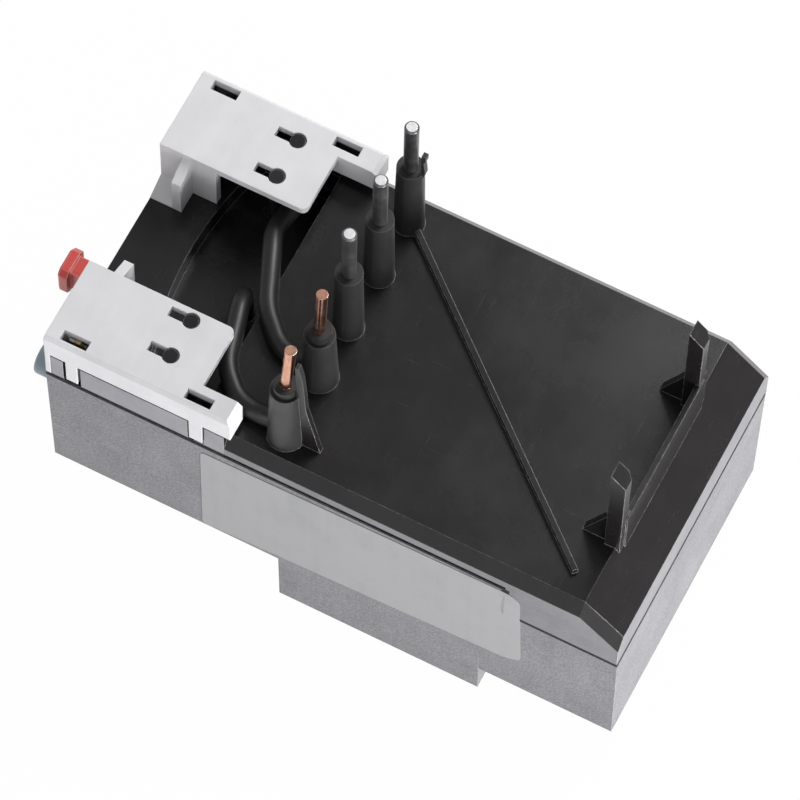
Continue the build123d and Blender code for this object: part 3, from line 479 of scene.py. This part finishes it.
# the lid's upright walls are the same black plastic as its deck; their grey is painted sheen of the side
# light
lidSideSheenLook = {
    "dark": (0.14, 0.138, 0.15), "light": (0.225, 0.222, 0.24), "edge": (0.55, 0.55, 0.57),
    "roughness": 0.4, "smudge": 0.08, "smudgeSize": 0.06,
    "grains": 3.0, "flow": 0.25, "sink": 0.0, "speckle": 0.5,
    "bump": 0.35, "bumpDepth": 0.04, "edgeRadius": 0.14, "edgeBreakup": 0.4, "scratch": 0.1, "dust": 0.1,
    "dustColour": (0.5, 0.5, 0.52), "ior": 1.5, "subsurface": 0.0, "seamShadeColour": (0.012, 0.012, 0.013),
}
coverLook = {
    "dark": (0.67, 0.667, 0.69), "light": (0.77, 0.765, 0.79), "edge": (0.85, 0.845, 0.86),
    "roughness": 0.42, "smudge": 0.1, "smudgeSize": 0.09,
    "grains": 5.0, "flow": 0.35, "sink": 0.0, "speckle": 0.35,
    "bump": 0.18, "bumpDepth": 0.02, "edgeRadius": 0.16, "edgeBreakup": 0.35, "scratch": 0.06, "dust": 0.06,
    "dustColour": (0.42, 0.42, 0.43), "ior": 1.5, "subsurface": 0.0,
}
testButtonLook = {
    "dark": (0.6, 0.075, 0.062), "light": (0.72, 0.105, 0.09), "edge": (0.9, 0.5, 0.48),
    "roughness": 0.3, "smudge": 0.1, "smudgeSize": 0.3,
    "grains": 3.0, "flow": 0.3, "sink": 0.0, "speckle": 0.3,
    "bump": 0.08, "bumpDepth": 0.02, "edgeRadius": 0.35, "edgeBreakup": 0.25, "scratch": 0.05, "dust": 0.1,
    "dustColour": (0.75, 0.5, 0.48), "ior": 1.5, "subsurface": 0.35,
}
resetButtonLook = {
    "dark": (0.27, 0.34, 0.39), "light": (0.34, 0.41, 0.46), "edge": (0.6, 0.68, 0.72),
    "roughness": 0.28, "smudge": 0.1, "smudgeSize": 0.3,
    "grains": 3.0, "flow": 0.3, "sink": 0.0, "speckle": 0.3,
    "bump": 0.08, "bumpDepth": 0.02, "edgeRadius": 0.4, "edgeBreakup": 0.25, "scratch": 0.05, "dust": 0.1,
    "dustColour": (0.5, 0.6, 0.66), "ior": 1.5, "subsurface": 0.3,
}
dialLook = {
    "dark": (0.68, 0.68, 0.66), "light": (0.74, 0.74, 0.72), "edge": (0.84, 0.84, 0.82),
    "roughness": 0.38, "smudge": 0.1, "smudgeSize": 0.3,
    "grains": 4.0, "flow": 0.3, "sink": 0.0, "speckle": 0.3,
    "bump": 0.1, "bumpDepth": 0.02, "edgeRadius": 0.2, "edgeBreakup": 0.4, "scratch": 0.08, "dust": 0.12,
    "dustColour": (0.4, 0.4, 0.38), "ior": 1.5, "subsurface": 0.0,
}
mechanismLook = {
    "dark": (0.56, 0.5, 0.38), "light": (0.66, 0.6, 0.47), "edge": (0.78, 0.73, 0.62),
    "roughness": 0.45, "smudge": 0.1, "smudgeSize": 0.2,
    "grains": 4.0, "flow": 0.5, "sink": 0.0, "speckle": 0.3,
    "bump": 0.12, "bumpDepth": 0.02, "edgeRadius": 0.12, "edgeBreakup": 0.4, "scratch": 0.1, "dust": 0.05,
    "dustColour": (0.4, 0.36, 0.3), "ior": 1.5, "subsurface": 0.0,
}
wireLook = {
    "dark": (0.012, 0.0113, 0.0118), "light": (0.017, 0.016, 0.0166), "edge": (0.03, 0.03, 0.032),
    "roughness": 0.42, "smudge": 0.06, "smudgeSize": 0.25,
    "grains": 1.2, "flow": 0.2, "sink": 0.0, "speckle": 0.3,
    "bump": 0.05, "bumpDepth": 0.03, "edgeRadius": 0.1, "edgeBreakup": 0.3, "scratch": 0.0, "dust": 0.12,
    "dustColour": (0.1, 0.1, 0.105), "ior": 1.5, "subsurface": 0.0,
}
tinnedLook = {
    "dark": (0.13, 0.13, 0.135), "light": (0.25, 0.25, 0.26), "tarnishColour": (0.09, 0.09, 0.093),
    "tarnish": 0.5, "tarnishSize": 0.7, "lines": (4.0, 4.0, 0.35), "roughness": 0.4, "bump": 0.3,
    "edgeRadius": 0.12,
}
pinEndLook = {
    "dark": (0.6, 0.6, 0.62), "light": (0.82, 0.82, 0.84), "tarnishColour": (0.42, 0.42, 0.43),
    "tarnish": 0.4, "tarnishSize": 1.4, "lines": (5.0, 1.2, 5.0), "roughness": 0.46, "bump": 0.5,
    "edgeRadius": 0.1,
}
copperLook = {
    "dark": (0.6, 0.27, 0.18), "light": (0.93, 0.57, 0.43), "tarnishColour": (0.36, 0.14, 0.09),
    "tarnish": 0.45, "tarnishSize": 0.9, "lines": (5.0, 5.0, 0.3), "roughness": 0.18, "bump": 0.3,
    "edgeRadius": 0.1,
}
brassLook = {
    "dark": (0.6, 0.43, 0.19), "light": (0.8, 0.62, 0.32), "tarnishColour": (0.4, 0.27, 0.12),
    "tarnish": 0.35, "tarnishSize": 0.35, "lines": (0.4, 5.0, 5.0), "roughness": 0.3, "bump": 0.15,
    "edgeRadius": 0.1,
}
zincLook = {
    "dark": (0.5, 0.5, 0.49), "light": (0.72, 0.72, 0.7), "tarnishColour": (0.42, 0.41, 0.36),
    "tarnish": 0.4, "tarnishSize": 0.5, "lines": (2.2, 2.2, 2.2), "roughness": 0.34, "bump": 0.15,
    "edgeRadius": 0.14,
}
springLook = {
    "dark": (0.38, 0.38, 0.4), "light": (0.6, 0.6, 0.62), "tarnishColour": (0.2, 0.19, 0.19),
    "tarnish": 0.3, "tarnishSize": 0.8, "lines": (3.0, 3.0, 3.0), "roughness": 0.26, "bump": 0.1,
    "edgeRadius": 0.05,
}
bimetalLook = {
    "dark": (0.45, 0.43, 0.41), "light": (0.64, 0.61, 0.57), "tarnishColour": (0.36, 0.26, 0.2),
    "tarnish": 0.6, "tarnishSize": 0.2, "lines": (5.0, 5.0, 0.3), "roughness": 0.33, "bump": 0.15,
    "edgeRadius": 0.08,
}

# the tabs are lighter still, with painted sheen
tabSheenLook = {**lidSideSheenLook, "dark": (0.228, 0.228, 0.252), "light": (0.33, 0.33, 0.36)}
slotShadeLook = {**coverLook, "depthShadeColour": (0.02, 0.0195, 0.02)}

finishes = {
    "housing": plastic("housingSparked", housingLook),
    "lid": plastic("lidBlack", lidLook),
    "lidSideSheen": plastic("lidSidePaintedSheen", lidSideSheenLook),
    "sleeves": plastic("sleevesMatt", sleeveLook),
    "tabsSheen": plastic("tabsPaintedSheen", tabSheenLook),
    "covers": plastic("coverLightGrey", coverLook),
    "slotShadeWalls": plastic("coverSlotPaintedShade", slotShadeLook),
    "testRed": plastic("testButtonRed", testButtonLook),
    "resetBlue": plastic("resetButtonBlue", resetButtonLook),
    "dial": plastic("dialPale", dialLook),
    "mechanism": plastic("mechanismCream", mechanismLook),
    "wire": plastic("wireJacketBlack", wireLook),
    "tinned": metal("pinTinned", tinnedLook),
    "pinEnd": metal("pinEndCut", pinEndLook),
    "copper": metal("copperBare", copperLook),
    "brass": metal("stripBrass", brassLook),
    "zinc": metal("screwZinc", zincLook),
    "spring": metal("springSteel", springLook),
    "bimetal": metal("bimetalStrip", bimetalLook),
}
print("relay: materials built")


# finishes on the CAD pieces

pieceFinishes = {
    "base_housing": "housing", "load_terminal_block": "housing", "top_cover": "lid",
    "terminal_cover_right": "covers", "terminal_cover_left": "covers",
    "control_screws": "zinc", "control_clamp_plates": "zinc",
    "load_screws": "zinc", "load_clamp_cages": "zinc",
    "trip_slide": "mechanism", "differential_slide": "mechanism", "trip_lever": "mechanism",
    "compensation_strip": "bimetal", "contact_carrier": "mechanism", "contact_blade": "copper",
    "setting_dial": "dial", "test_button": "testRed", "reset_button": "resetBlue",
    "test_button_spring": "spring", "reset_button_spring": "spring",
    "coil_wire_jacket": "wire", "coil_wire_core": "copper",
    "contact_wire_jacket": "wire", "contact_wire_core": "copper",
}
for side in ("left", "right"):
    for place in ("outer", "inner"):
        pieceFinishes["terminal_strip_" + side + "_" + place] = "brass"
for pole in (1, 2, 3):
    pieceFinishes["line_pin_" + str(pole)] = "tinned"
    pieceFinishes["bimetal_" + str(pole)] = "bimetal"
    pieceFinishes["heater_" + str(pole)] = "spring"
    pieceFinishes["load_bar_" + str(pole)] = "copper"
for piece, finish in pieceFinishes.items():
    nodes[piece].data.materials.clear()
    nodes[piece].data.materials.append(finishes[finish])


# gives the faces of a piece that a test picks a second finish
def refinish(piece, finish, test):
    mesh = nodes[piece].data
    mesh.materials.append(finishes[finish])
    for face in mesh.polygons:
        if test(face.center / mm, face.normal):
            face.material_index = len(mesh.materials) - 1


lidParts = {
    "side": 22.35, "rear": 45.25, "upright": 0.3,
    "tabsEnd": -12.4, "sleeveRow": -5.8, "sleeveX": (-17.5, -8.75, 0.0, 8.2, 17.7),
    "sleeveReach": 2.9, "sleeveFoot": 42.03,
}
seamShadeRim = {"lowest": 28.0, "upright": 0.9}
pinParts = {"lowest": 68.0, "upright": 0.85}
slotParts = {"column": 20.95, "halfWidth": 0.8, "starts": (-37.2, -18.9), "length": 4.1, "highest": 47.4}


def onLidSide(spot, normal):
    outside = abs(spot.x) > lidParts["side"] or spot.y > lidParts["rear"]
    return outside and abs(normal.z) < lidParts["upright"]


def onTab(spot, normal):
    return onLidSide(spot, normal) and spot.y < lidParts["tabsEnd"]


def onSleeve(spot, normal):
    gaps = [math.hypot(spot.x - x, spot.y - lidParts["sleeveRow"]) for x in lidParts["sleeveX"]]
    return spot.z > lidParts["sleeveFoot"] and min(gaps) < lidParts["sleeveReach"]


def inSeamShade(spot, normal):
    return spot.z > seamShadeRim["lowest"] and normal.z > seamShadeRim["upright"]


def onPinEnd(spot, normal):
    return spot.z > pinParts["lowest"] and normal.z > pinParts["upright"]


def inSlot(spot, normal):
    if abs(abs(spot.x) - slotParts["column"]) > slotParts["halfWidth"] or spot.z > slotParts["highest"]:
        return False
    return any(start < spot.y < start + slotParts["length"] for start in slotParts["starts"])


# the lid's outer walls and tabs get a satin texture and a grey of painted sheen, lighter than its glossy
# black deck, the sleeves a rougher satin finish, and the housing's rim under the lid and the insides of the
# covers' slots painted shade
refinish("top_cover", "lidSideSheen", onLidSide)
refinish("top_cover", "tabsSheen", onTab)
refinish("top_cover", "sleeves", onSleeve)
# the housing's rim under the lid takes the lid's black as painted shade in the join
refinish("base_housing", "lid", inSeamShade)
# the insides of the covers' slots get painted shade
for side in ("left", "right"):
    refinish("terminal_cover_" + side, "slotShadeWalls", inSlot)
for pole in (1, 2, 3):
    refinish("line_pin_" + str(pole), "pinEnd", onPinEnd)
print("relay: finishes on", len(pieceFinishes), "pieces")


# film on the right side

filmLook = {
    "outline": [(-16.1, 35.5), (-16.4, 12.0), (29.4, 15.0), (31.6, 16.4), (31.1, 35.4), (29.6, 36.7)],
    "cornerRadius": 0.9, "cornerSteps": 5, "thickness": 0.05, "gap": 0.02,
    "cutsAlong": (-12, -4, 4, 12, 20, 28.4, 28.9), "cutsUp": (18, 24, 29.4, 29.9, 33),
    "dark": (0.235, 0.235, 0.245), "light": (0.31, 0.31, 0.32), "streak": (0.38, 0.38, 0.39),
    "roughness": 0.3, "smudge": 0.15, "smudgeSize": 0.12, "rubbed": 0.5, "dust": 0.15,
    "grains": 1.6, "flow": 0.8, "bump": 0.12, "bumpDepth": 0.03, "edgeRadius": 0.04, "edgeBreakup": 0.3,
}
sideFace = {"top": 22.5, "topZ": 37.5, "slope": 0.0211, "skirtY": 28.9, "skirtZ": 29.9, "rise": 0.5}


# distance of the film's back from the middle, over the drafted side and the lid's skirt
def filmX(y, z):
    drafted = sideFace["top"] - sideFace["slope"] * (sideFace["topZ"] - z)
    rise = sideFace["rise"]
    onSkirt = clamped((y - sideFace["skirtY"] + rise) / rise)
    onSkirt *= clamped((z - sideFace["skirtZ"] + rise) / rise)
    return drafted + (sideFace["top"] - drafted) * onSkirt + filmLook["gap"]


# an outline whose corners are drawn as quadratic curves
def roundedOutline(corners, radius, steps):
    points = []
    count = len(corners)
    for i in range(count):
        here = Vector(corners[i])
        towardLast = (Vector(corners[i - 1]) - here).normalized() * radius
        towardNext = (Vector(corners[(i + 1) % count]) - here).normalized() * radius
        for step in range(steps + 1):
            t = step / steps
            bend = here * 2 * t * (1 - t)
            points.append((here + towardLast) * (1 - t) ** 2 + bend + (here + towardNext) * t ** 2)
    return points


def makeFilm():
    mesh = bmesh.new()
    outline = roundedOutline(filmLook["outline"], filmLook["cornerRadius"], filmLook["cornerSteps"])
    mesh.faces.new([mesh.verts.new((0, point.x, point.y)) for point in outline])
    cuts = [((0, y, 0), (0, 1, 0)) for y in filmLook["cutsAlong"]]
    cuts += [((0, 0, z), (0, 0, 1)) for z in filmLook["cutsUp"]]
    for point, normal in cuts:
        everything = mesh.verts[:] + mesh.edges[:] + mesh.faces[:]
        bmesh.ops.bisect_plane(mesh, geom=everything, plane_co=point, plane_no=normal)
    for vert in mesh.verts:
        vert.co.x = filmX(vert.co.y, vert.co.z)
    bmesh.ops.recalc_face_normals(mesh, faces=mesh.faces)
    if mesh.faces[0].normal.x < 0:
        bmesh.ops.reverse_faces(mesh, faces=mesh.faces)
    grown = bmesh.ops.extrude_face_region(mesh, geom=mesh.faces[:])
    for vert in [v for v in grown["geom"] if isinstance(v, bmesh.types.BMVert)]:
        vert.co.x += filmLook["thickness"]
    bmesh.ops.recalc_face_normals(mesh, faces=mesh.faces)
    return placeMesh("sideFilm", mesh)


def filmMaterial():
    look = filmLook
    material, tree, shader = newMaterial("filmSatin")
    edges = useEdges(tree, look)
    grain = useGroup(tree, "grain", (-1100, 100), Grains_per_mm=look["grains"], Flow_marks=look["flow"])
    marks = useHandling(tree, look)
    base = blendColours(tree, grain.outputs["Mottle"], look["dark"], look["light"], (-800, 200))
    wiped = mathNode(tree, "MULTIPLY", (-800, 420), marks.outputs["Smudge"], look["rubbed"])
    rubbed = blendColours(tree, wiped, base, look["streak"], (-600, 200))
    tree.links.new(rubbed, shader.inputs["Base Color"])
    tree.links.new(smudgedRoughness(tree, marks, look), shader.inputs["Roughness"])
    bumpNode(tree, shader, grain.outputs["Height"], edges, look)
    return material


sideFilm = makeFilm()
sideFilm.data.materials.append(filmMaterial())
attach(sideFilm, "housing")
print("relay: side film made")


# springs behind the buttons

springShape = {
    "meanRadius": 1.5, "wireRadius": 0.2, "turns": 3.5, "closedShare": 0.12, "stepsPerTurn": 28, "sides": 10,
    "frontEnd": -36.07, "rearEnd": -32.44, "rearSeat": -32.4, "travel": 2.5,
    "places": {"test_button": (5.8, 32.0), "reset_button": (18.6, 32.6)},
}


# share of the length reached along the wire, with both end turns lying flat
def springRise(share):
    closed = springShape["closedShare"]
    return clamped((share - closed) / (1 - 2 * closed))


def makeSpring(button, place):
    mesh = bmesh.new()
    count = int(springShape["turns"] * springShape["stepsPerTurn"])
    wire = springShape["wireRadius"]
    first, last = springShape["frontEnd"] + wire, springShape["rearEnd"] - wire
    rings = []
    for i in range(count + 1):
        angle = 2 * math.pi * i / springShape["stepsPerTurn"]
        outward = Vector((math.cos(angle), 0, math.sin(angle)))
        middle = Vector((place[0], first + (last - first) * springRise(i / count), place[1]))
        middle += outward * springShape["meanRadius"]
        ring = []
        for k in range(springShape["sides"]):
            turn = 2 * math.pi * k / springShape["sides"]
            aside = Vector((0, wire * math.sin(turn), 0))
            ring.append(mesh.verts.new(middle + outward * wire * math.cos(turn) + aside))
        rings.append(ring)
    for here, following in zip(rings, rings[1:]):
        for k in range(springShape["sides"]):
            after = (k + 1) % springShape["sides"]
            mesh.faces.new((here[k], here[after], following[after], following[k]))
    mesh.faces.new(rings[0])
    mesh.faces.new(rings[-1])
    bmesh.ops.recalc_face_normals(mesh, faces=mesh.faces)
    spring = placeMesh(button + "Spring", mesh)
    spring.data.shade_smooth()
    return spring


for button, place in springShape["places"].items():
    spring = makeSpring(button, place)
    spring.data.materials.append(finishes["spring"])
    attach(spring, "housing")
    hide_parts(button + "_spring")
    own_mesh(spring)
print("relay: button springs made")


# numbers and ticks on the setting dial

dialMarks = {
    "centre": (-8.0, 23.5), "faceY": -38.8, "numbers": ["1", "2", "3", "4"], "numberRadius": 4.1,
    "numberSize": 1.9, "sweep": 240.0, "ticks": 13, "tickRadius": 5.25, "tickLength": 0.6, "tickWidth": 0.18,
    "longEvery": 4, "longShare": 1.4, "raise": 0.03, "weld": 0.0005,
    "dark": (0.012, 0.012, 0.013), "light": (0.03, 0.03, 0.032), "roughness": 0.5,
    "grains": 6.0, "flow": 0.2, "edgeRadius": 0.02, "edgeBreakup": 0.2, "bump": 0.1, "bumpDepth": 0.01,
}


def inkMaterial():
    ink = dialMarks
    material, tree, shader = newMaterial("dialInk")
    grain = useGroup(tree, "grain", (-900, 100), Grains_per_mm=ink["grains"], Flow_marks=ink["flow"])
    edges = useEdges(tree, ink)
    faded = blendColours(tree, grain.outputs["Mottle"], ink["dark"], ink["light"], (-600, 100))
    tree.links.new(faded, shader.inputs["Base Color"])
    shader.inputs["Roughness"].default_value = ink["roughness"]
    bumpNode(tree, shader, grain.outputs["Height"], edges, ink)
    return material


# degrees from the top of the dial, for one of a row of marks over its sweep
def dialAngle(i, count):
    return -dialMarks["sweep"] / 2 + dialMarks["sweep"] * i / (count - 1)


def dialPlace(angle, radius):
    turned = math.radians(angle)
    x = dialMarks["centre"][0] + radius * math.sin(turned)
    z = dialMarks["centre"][1] + radius * math.cos(turned)
    return x, z


def addTick(mesh, angle, length):
    x, z = dialPlace(angle, dialMarks["tickRadius"])
    box = bmesh.ops.create_cube(mesh, size=1.0)["verts"]
    bmesh.ops.scale(mesh, vec=(dialMarks["tickWidth"], dialMarks["raise"], length), verts=box)
    bmesh.ops.rotate(mesh, cent=(0, 0, 0), matrix=Matrix.Rotation(math.radians(angle), 3, "Y"), verts=box)
    bmesh.ops.translate(mesh, vec=(x, dialMarks["faceY"] - dialMarks["raise"] / 2, z), verts=box)


def addNumber(mesh, angle, text):
    curve = bpy.data.curves.new("dialNumber" + text, "FONT")
    curve.body = text
    curve.size = dialMarks["numberSize"]
    curve.align_x = "CENTER"
    curve.align_y = "CENTER"
    curve.extrude = dialMarks["raise"] / 2
    holder = placeObject("dialNumber" + text, curve)
    shape = bpy.data.meshes.new_from_object(holder)
    bpy.data.objects.remove(holder)
    x, z = dialPlace(angle, dialMarks["numberRadius"])
    place = Matrix.Translation((x, dialMarks["faceY"] - dialMarks["raise"] / 2, z))
    upright = Matrix.Rotation(math.radians(90), 4, "X")
    shape.transform(place @ Matrix.Rotation(math.radians(angle), 4, "Y") @ upright)
    mesh.from_mesh(shape)


def makeDialMarks():
    mesh = bmesh.new()
    for i in range(dialMarks["ticks"]):
        share = dialMarks["longShare"] if i % dialMarks["longEvery"] == 0 else 1.0
        addTick(mesh, dialAngle(i, dialMarks["ticks"]), dialMarks["tickLength"] * share)
    for i, text in enumerate(dialMarks["numbers"]):
        addNumber(mesh, dialAngle(i, len(dialMarks["numbers"])), text)
    bmesh.ops.remove_doubles(mesh, verts=mesh.verts, dist=dialMarks["weld"])
    return placeMesh("dialMarkings", mesh)


dialMarkings = makeDialMarks()
dialMarkings.data.materials.append(inkMaterial())
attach(dialMarkings, "setting_dial")
print("relay: dial markings made")


# floor, light and camera

studio = {
    "floorColour": (0.66, 0.66, 0.66), "floorWhite": 0.985, "floorReach": 3000.0, "floorDrop": 0.05,
    "worldFill": 0.42, "zenithGloss": 0.26, "horizonGloss": 0.4, "ceiling": (0.55, 0.95),
    # each lamp's name, place, target, size in metres and power in watts
    "lamps": [
        ("overheadSoftbox", (-0.31, 0.1, 0.42), (-0.02, 0.02, 0.03), (0.2, 0.22), 1.75),
        ("rearSoftbox", (0.18, 0.46, 0.045), (0.0, 0.0, 0.03), (0.26, 0.09), 3.6),
        ("sideSoftbox", (0.5, 0.1, 0.2), (0.0, 0.0, 0.03), (0.2, 0.2), 0.35),
    ],
    "lens": 285.9, "sensor": 36.0, "nearest": 0.01,
    "cameraPlace": (0.33166, 0.16185, 0.79283),
    "cameraRight": (-0.4574, 0.8892, 0.0126), "cameraBack": (0.3904, 0.1881, 0.9012),
}


# the camera, mirrors and glass see plain white; other rays see the real surface
def whiteForViewers(tree, surfaceShader, whiteShader, amount, target):
    path = addNode(tree, "ShaderNodeLightPath", (-900, 300))
    camera, mirror = path.outputs["Is Camera Ray"], path.outputs["Is Glossy Ray"]
    seen = mathNode(tree, "MAXIMUM", (-700, 300), camera, mirror)
    seen = mathNode(tree, "MAXIMUM", (-520, 300), seen, path.outputs["Is Transmission Ray"])
    factor = mathNode(tree, "MULTIPLY", (-340, 300), seen, amount)
    mix = addNode(tree, "ShaderNodeMixShader", (0, 0))
    tree.links.new(factor, mix.inputs[0])
    tree.links.new(surfaceShader, mix.inputs[1])
    tree.links.new(whiteShader, mix.inputs[2])
    tree.links.new(mix.outputs[0], target)


def makeFloor():
    mesh = bmesh.new()
    bmesh.ops.create_grid(mesh, x_segments=8, y_segments=8, size=studio["floorReach"])
    floor = placeMesh("studioFloor", mesh)
    floor.location = (0, 0, -studio["floorDrop"] * mm)
    material = bpy.data.materials.new("floorPale")
    material.use_nodes = True
    tree = material.node_tree
    tree.nodes.clear()
    out = addNode(tree, "ShaderNodeOutputMaterial", (200, 0))
    matte = addNode(tree, "ShaderNodeBsdfDiffuse", (-300, 0))
    matte.inputs["Color"].default_value = studio["floorColour"] + (1.0,)
    glow = addNode(tree, "ShaderNodeEmission", (-300, -150))
    whiteForViewers(tree, matte.outputs[0], glow.outputs[0], studio["floorWhite"], out.inputs["Surface"])
    floor.data.materials.append(material)
    return floor


def makeWorld():
    world = bpy.data.worlds.new("paleRoom")
    bpy.context.scene.world = world
    world.use_nodes = True
    tree = world.node_tree
    tree.nodes.clear()
    out = addNode(tree, "ShaderNodeOutputWorld", (200, 0))
    fill = addNode(tree, "ShaderNodeBackground", (-300, 0), Strength=studio["worldFill"])
    fill.inputs["Color"].default_value = (1.0, 1.0, 1.0, 1.0)
    white = addNode(tree, "ShaderNodeBackground", (-300, -150))
    white.inputs["Color"].default_value = (1.0, 1.0, 1.0, 1.0)
    direction = addNode(tree, "ShaderNodeTexCoord", (-1100, -250))
    height = addNode(tree, "ShaderNodeSeparateXYZ", (-900, -250))
    tree.links.new(direction.outputs["Generated"], height.inputs[0])
    ceiling = rampNode(tree, height.outputs["Z"], (-700, -250), *studio["ceiling"])
    ceiling.node.inputs["To Min"].default_value = studio["horizonGloss"]
    ceiling.node.inputs["To Max"].default_value = studio["zenithGloss"]
    viewer = addNode(tree, "ShaderNodeLightPath", (-1100, -450))
    tree.links.new(mathNode(tree, "MAXIMUM", (-500, -300), ceiling, viewer.outputs["Is Camera Ray"]),
                   white.inputs["Strength"])
    whiteForViewers(tree, fill.outputs[0], white.outputs[0], 1.0, out.inputs["Surface"])


def makeLamp(name, place, target, size, power):
    data = bpy.data.lights.new(name, "AREA")
    data.shape = "RECTANGLE"
    data.size, data.size_y = size
    data.energy = power
    lamp = placeObject(name, data)
    lamp.location = place
    lamp.rotation_euler = (Vector(target) - Vector(place)).to_track_quat("-Z", "Y").to_euler()


def makeCamera():
    data = bpy.data.cameras.new("photoCamera")
    data.lens = studio["lens"]
    data.sensor_width = studio["sensor"]
    data.clip_start = studio["nearest"]
    camera = placeObject("photoCamera", data)
    back = Vector(studio["cameraBack"]).normalized()
    right = Vector(studio["cameraRight"])
    right = (right - right.dot(back) * back).normalized()
    up = back.cross(right)
    turn = Matrix((right, up, back)).transposed().to_4x4()
    camera.matrix_world = Matrix.Translation(studio["cameraPlace"]) @ turn
    bpy.context.scene.camera = camera


makeFloor()
makeWorld()
for lamp in studio["lamps"]:
    makeLamp(*lamp)
makeCamera()
bpy.context.scene.view_settings.view_transform = "Standard"
print("relay: studio ready")
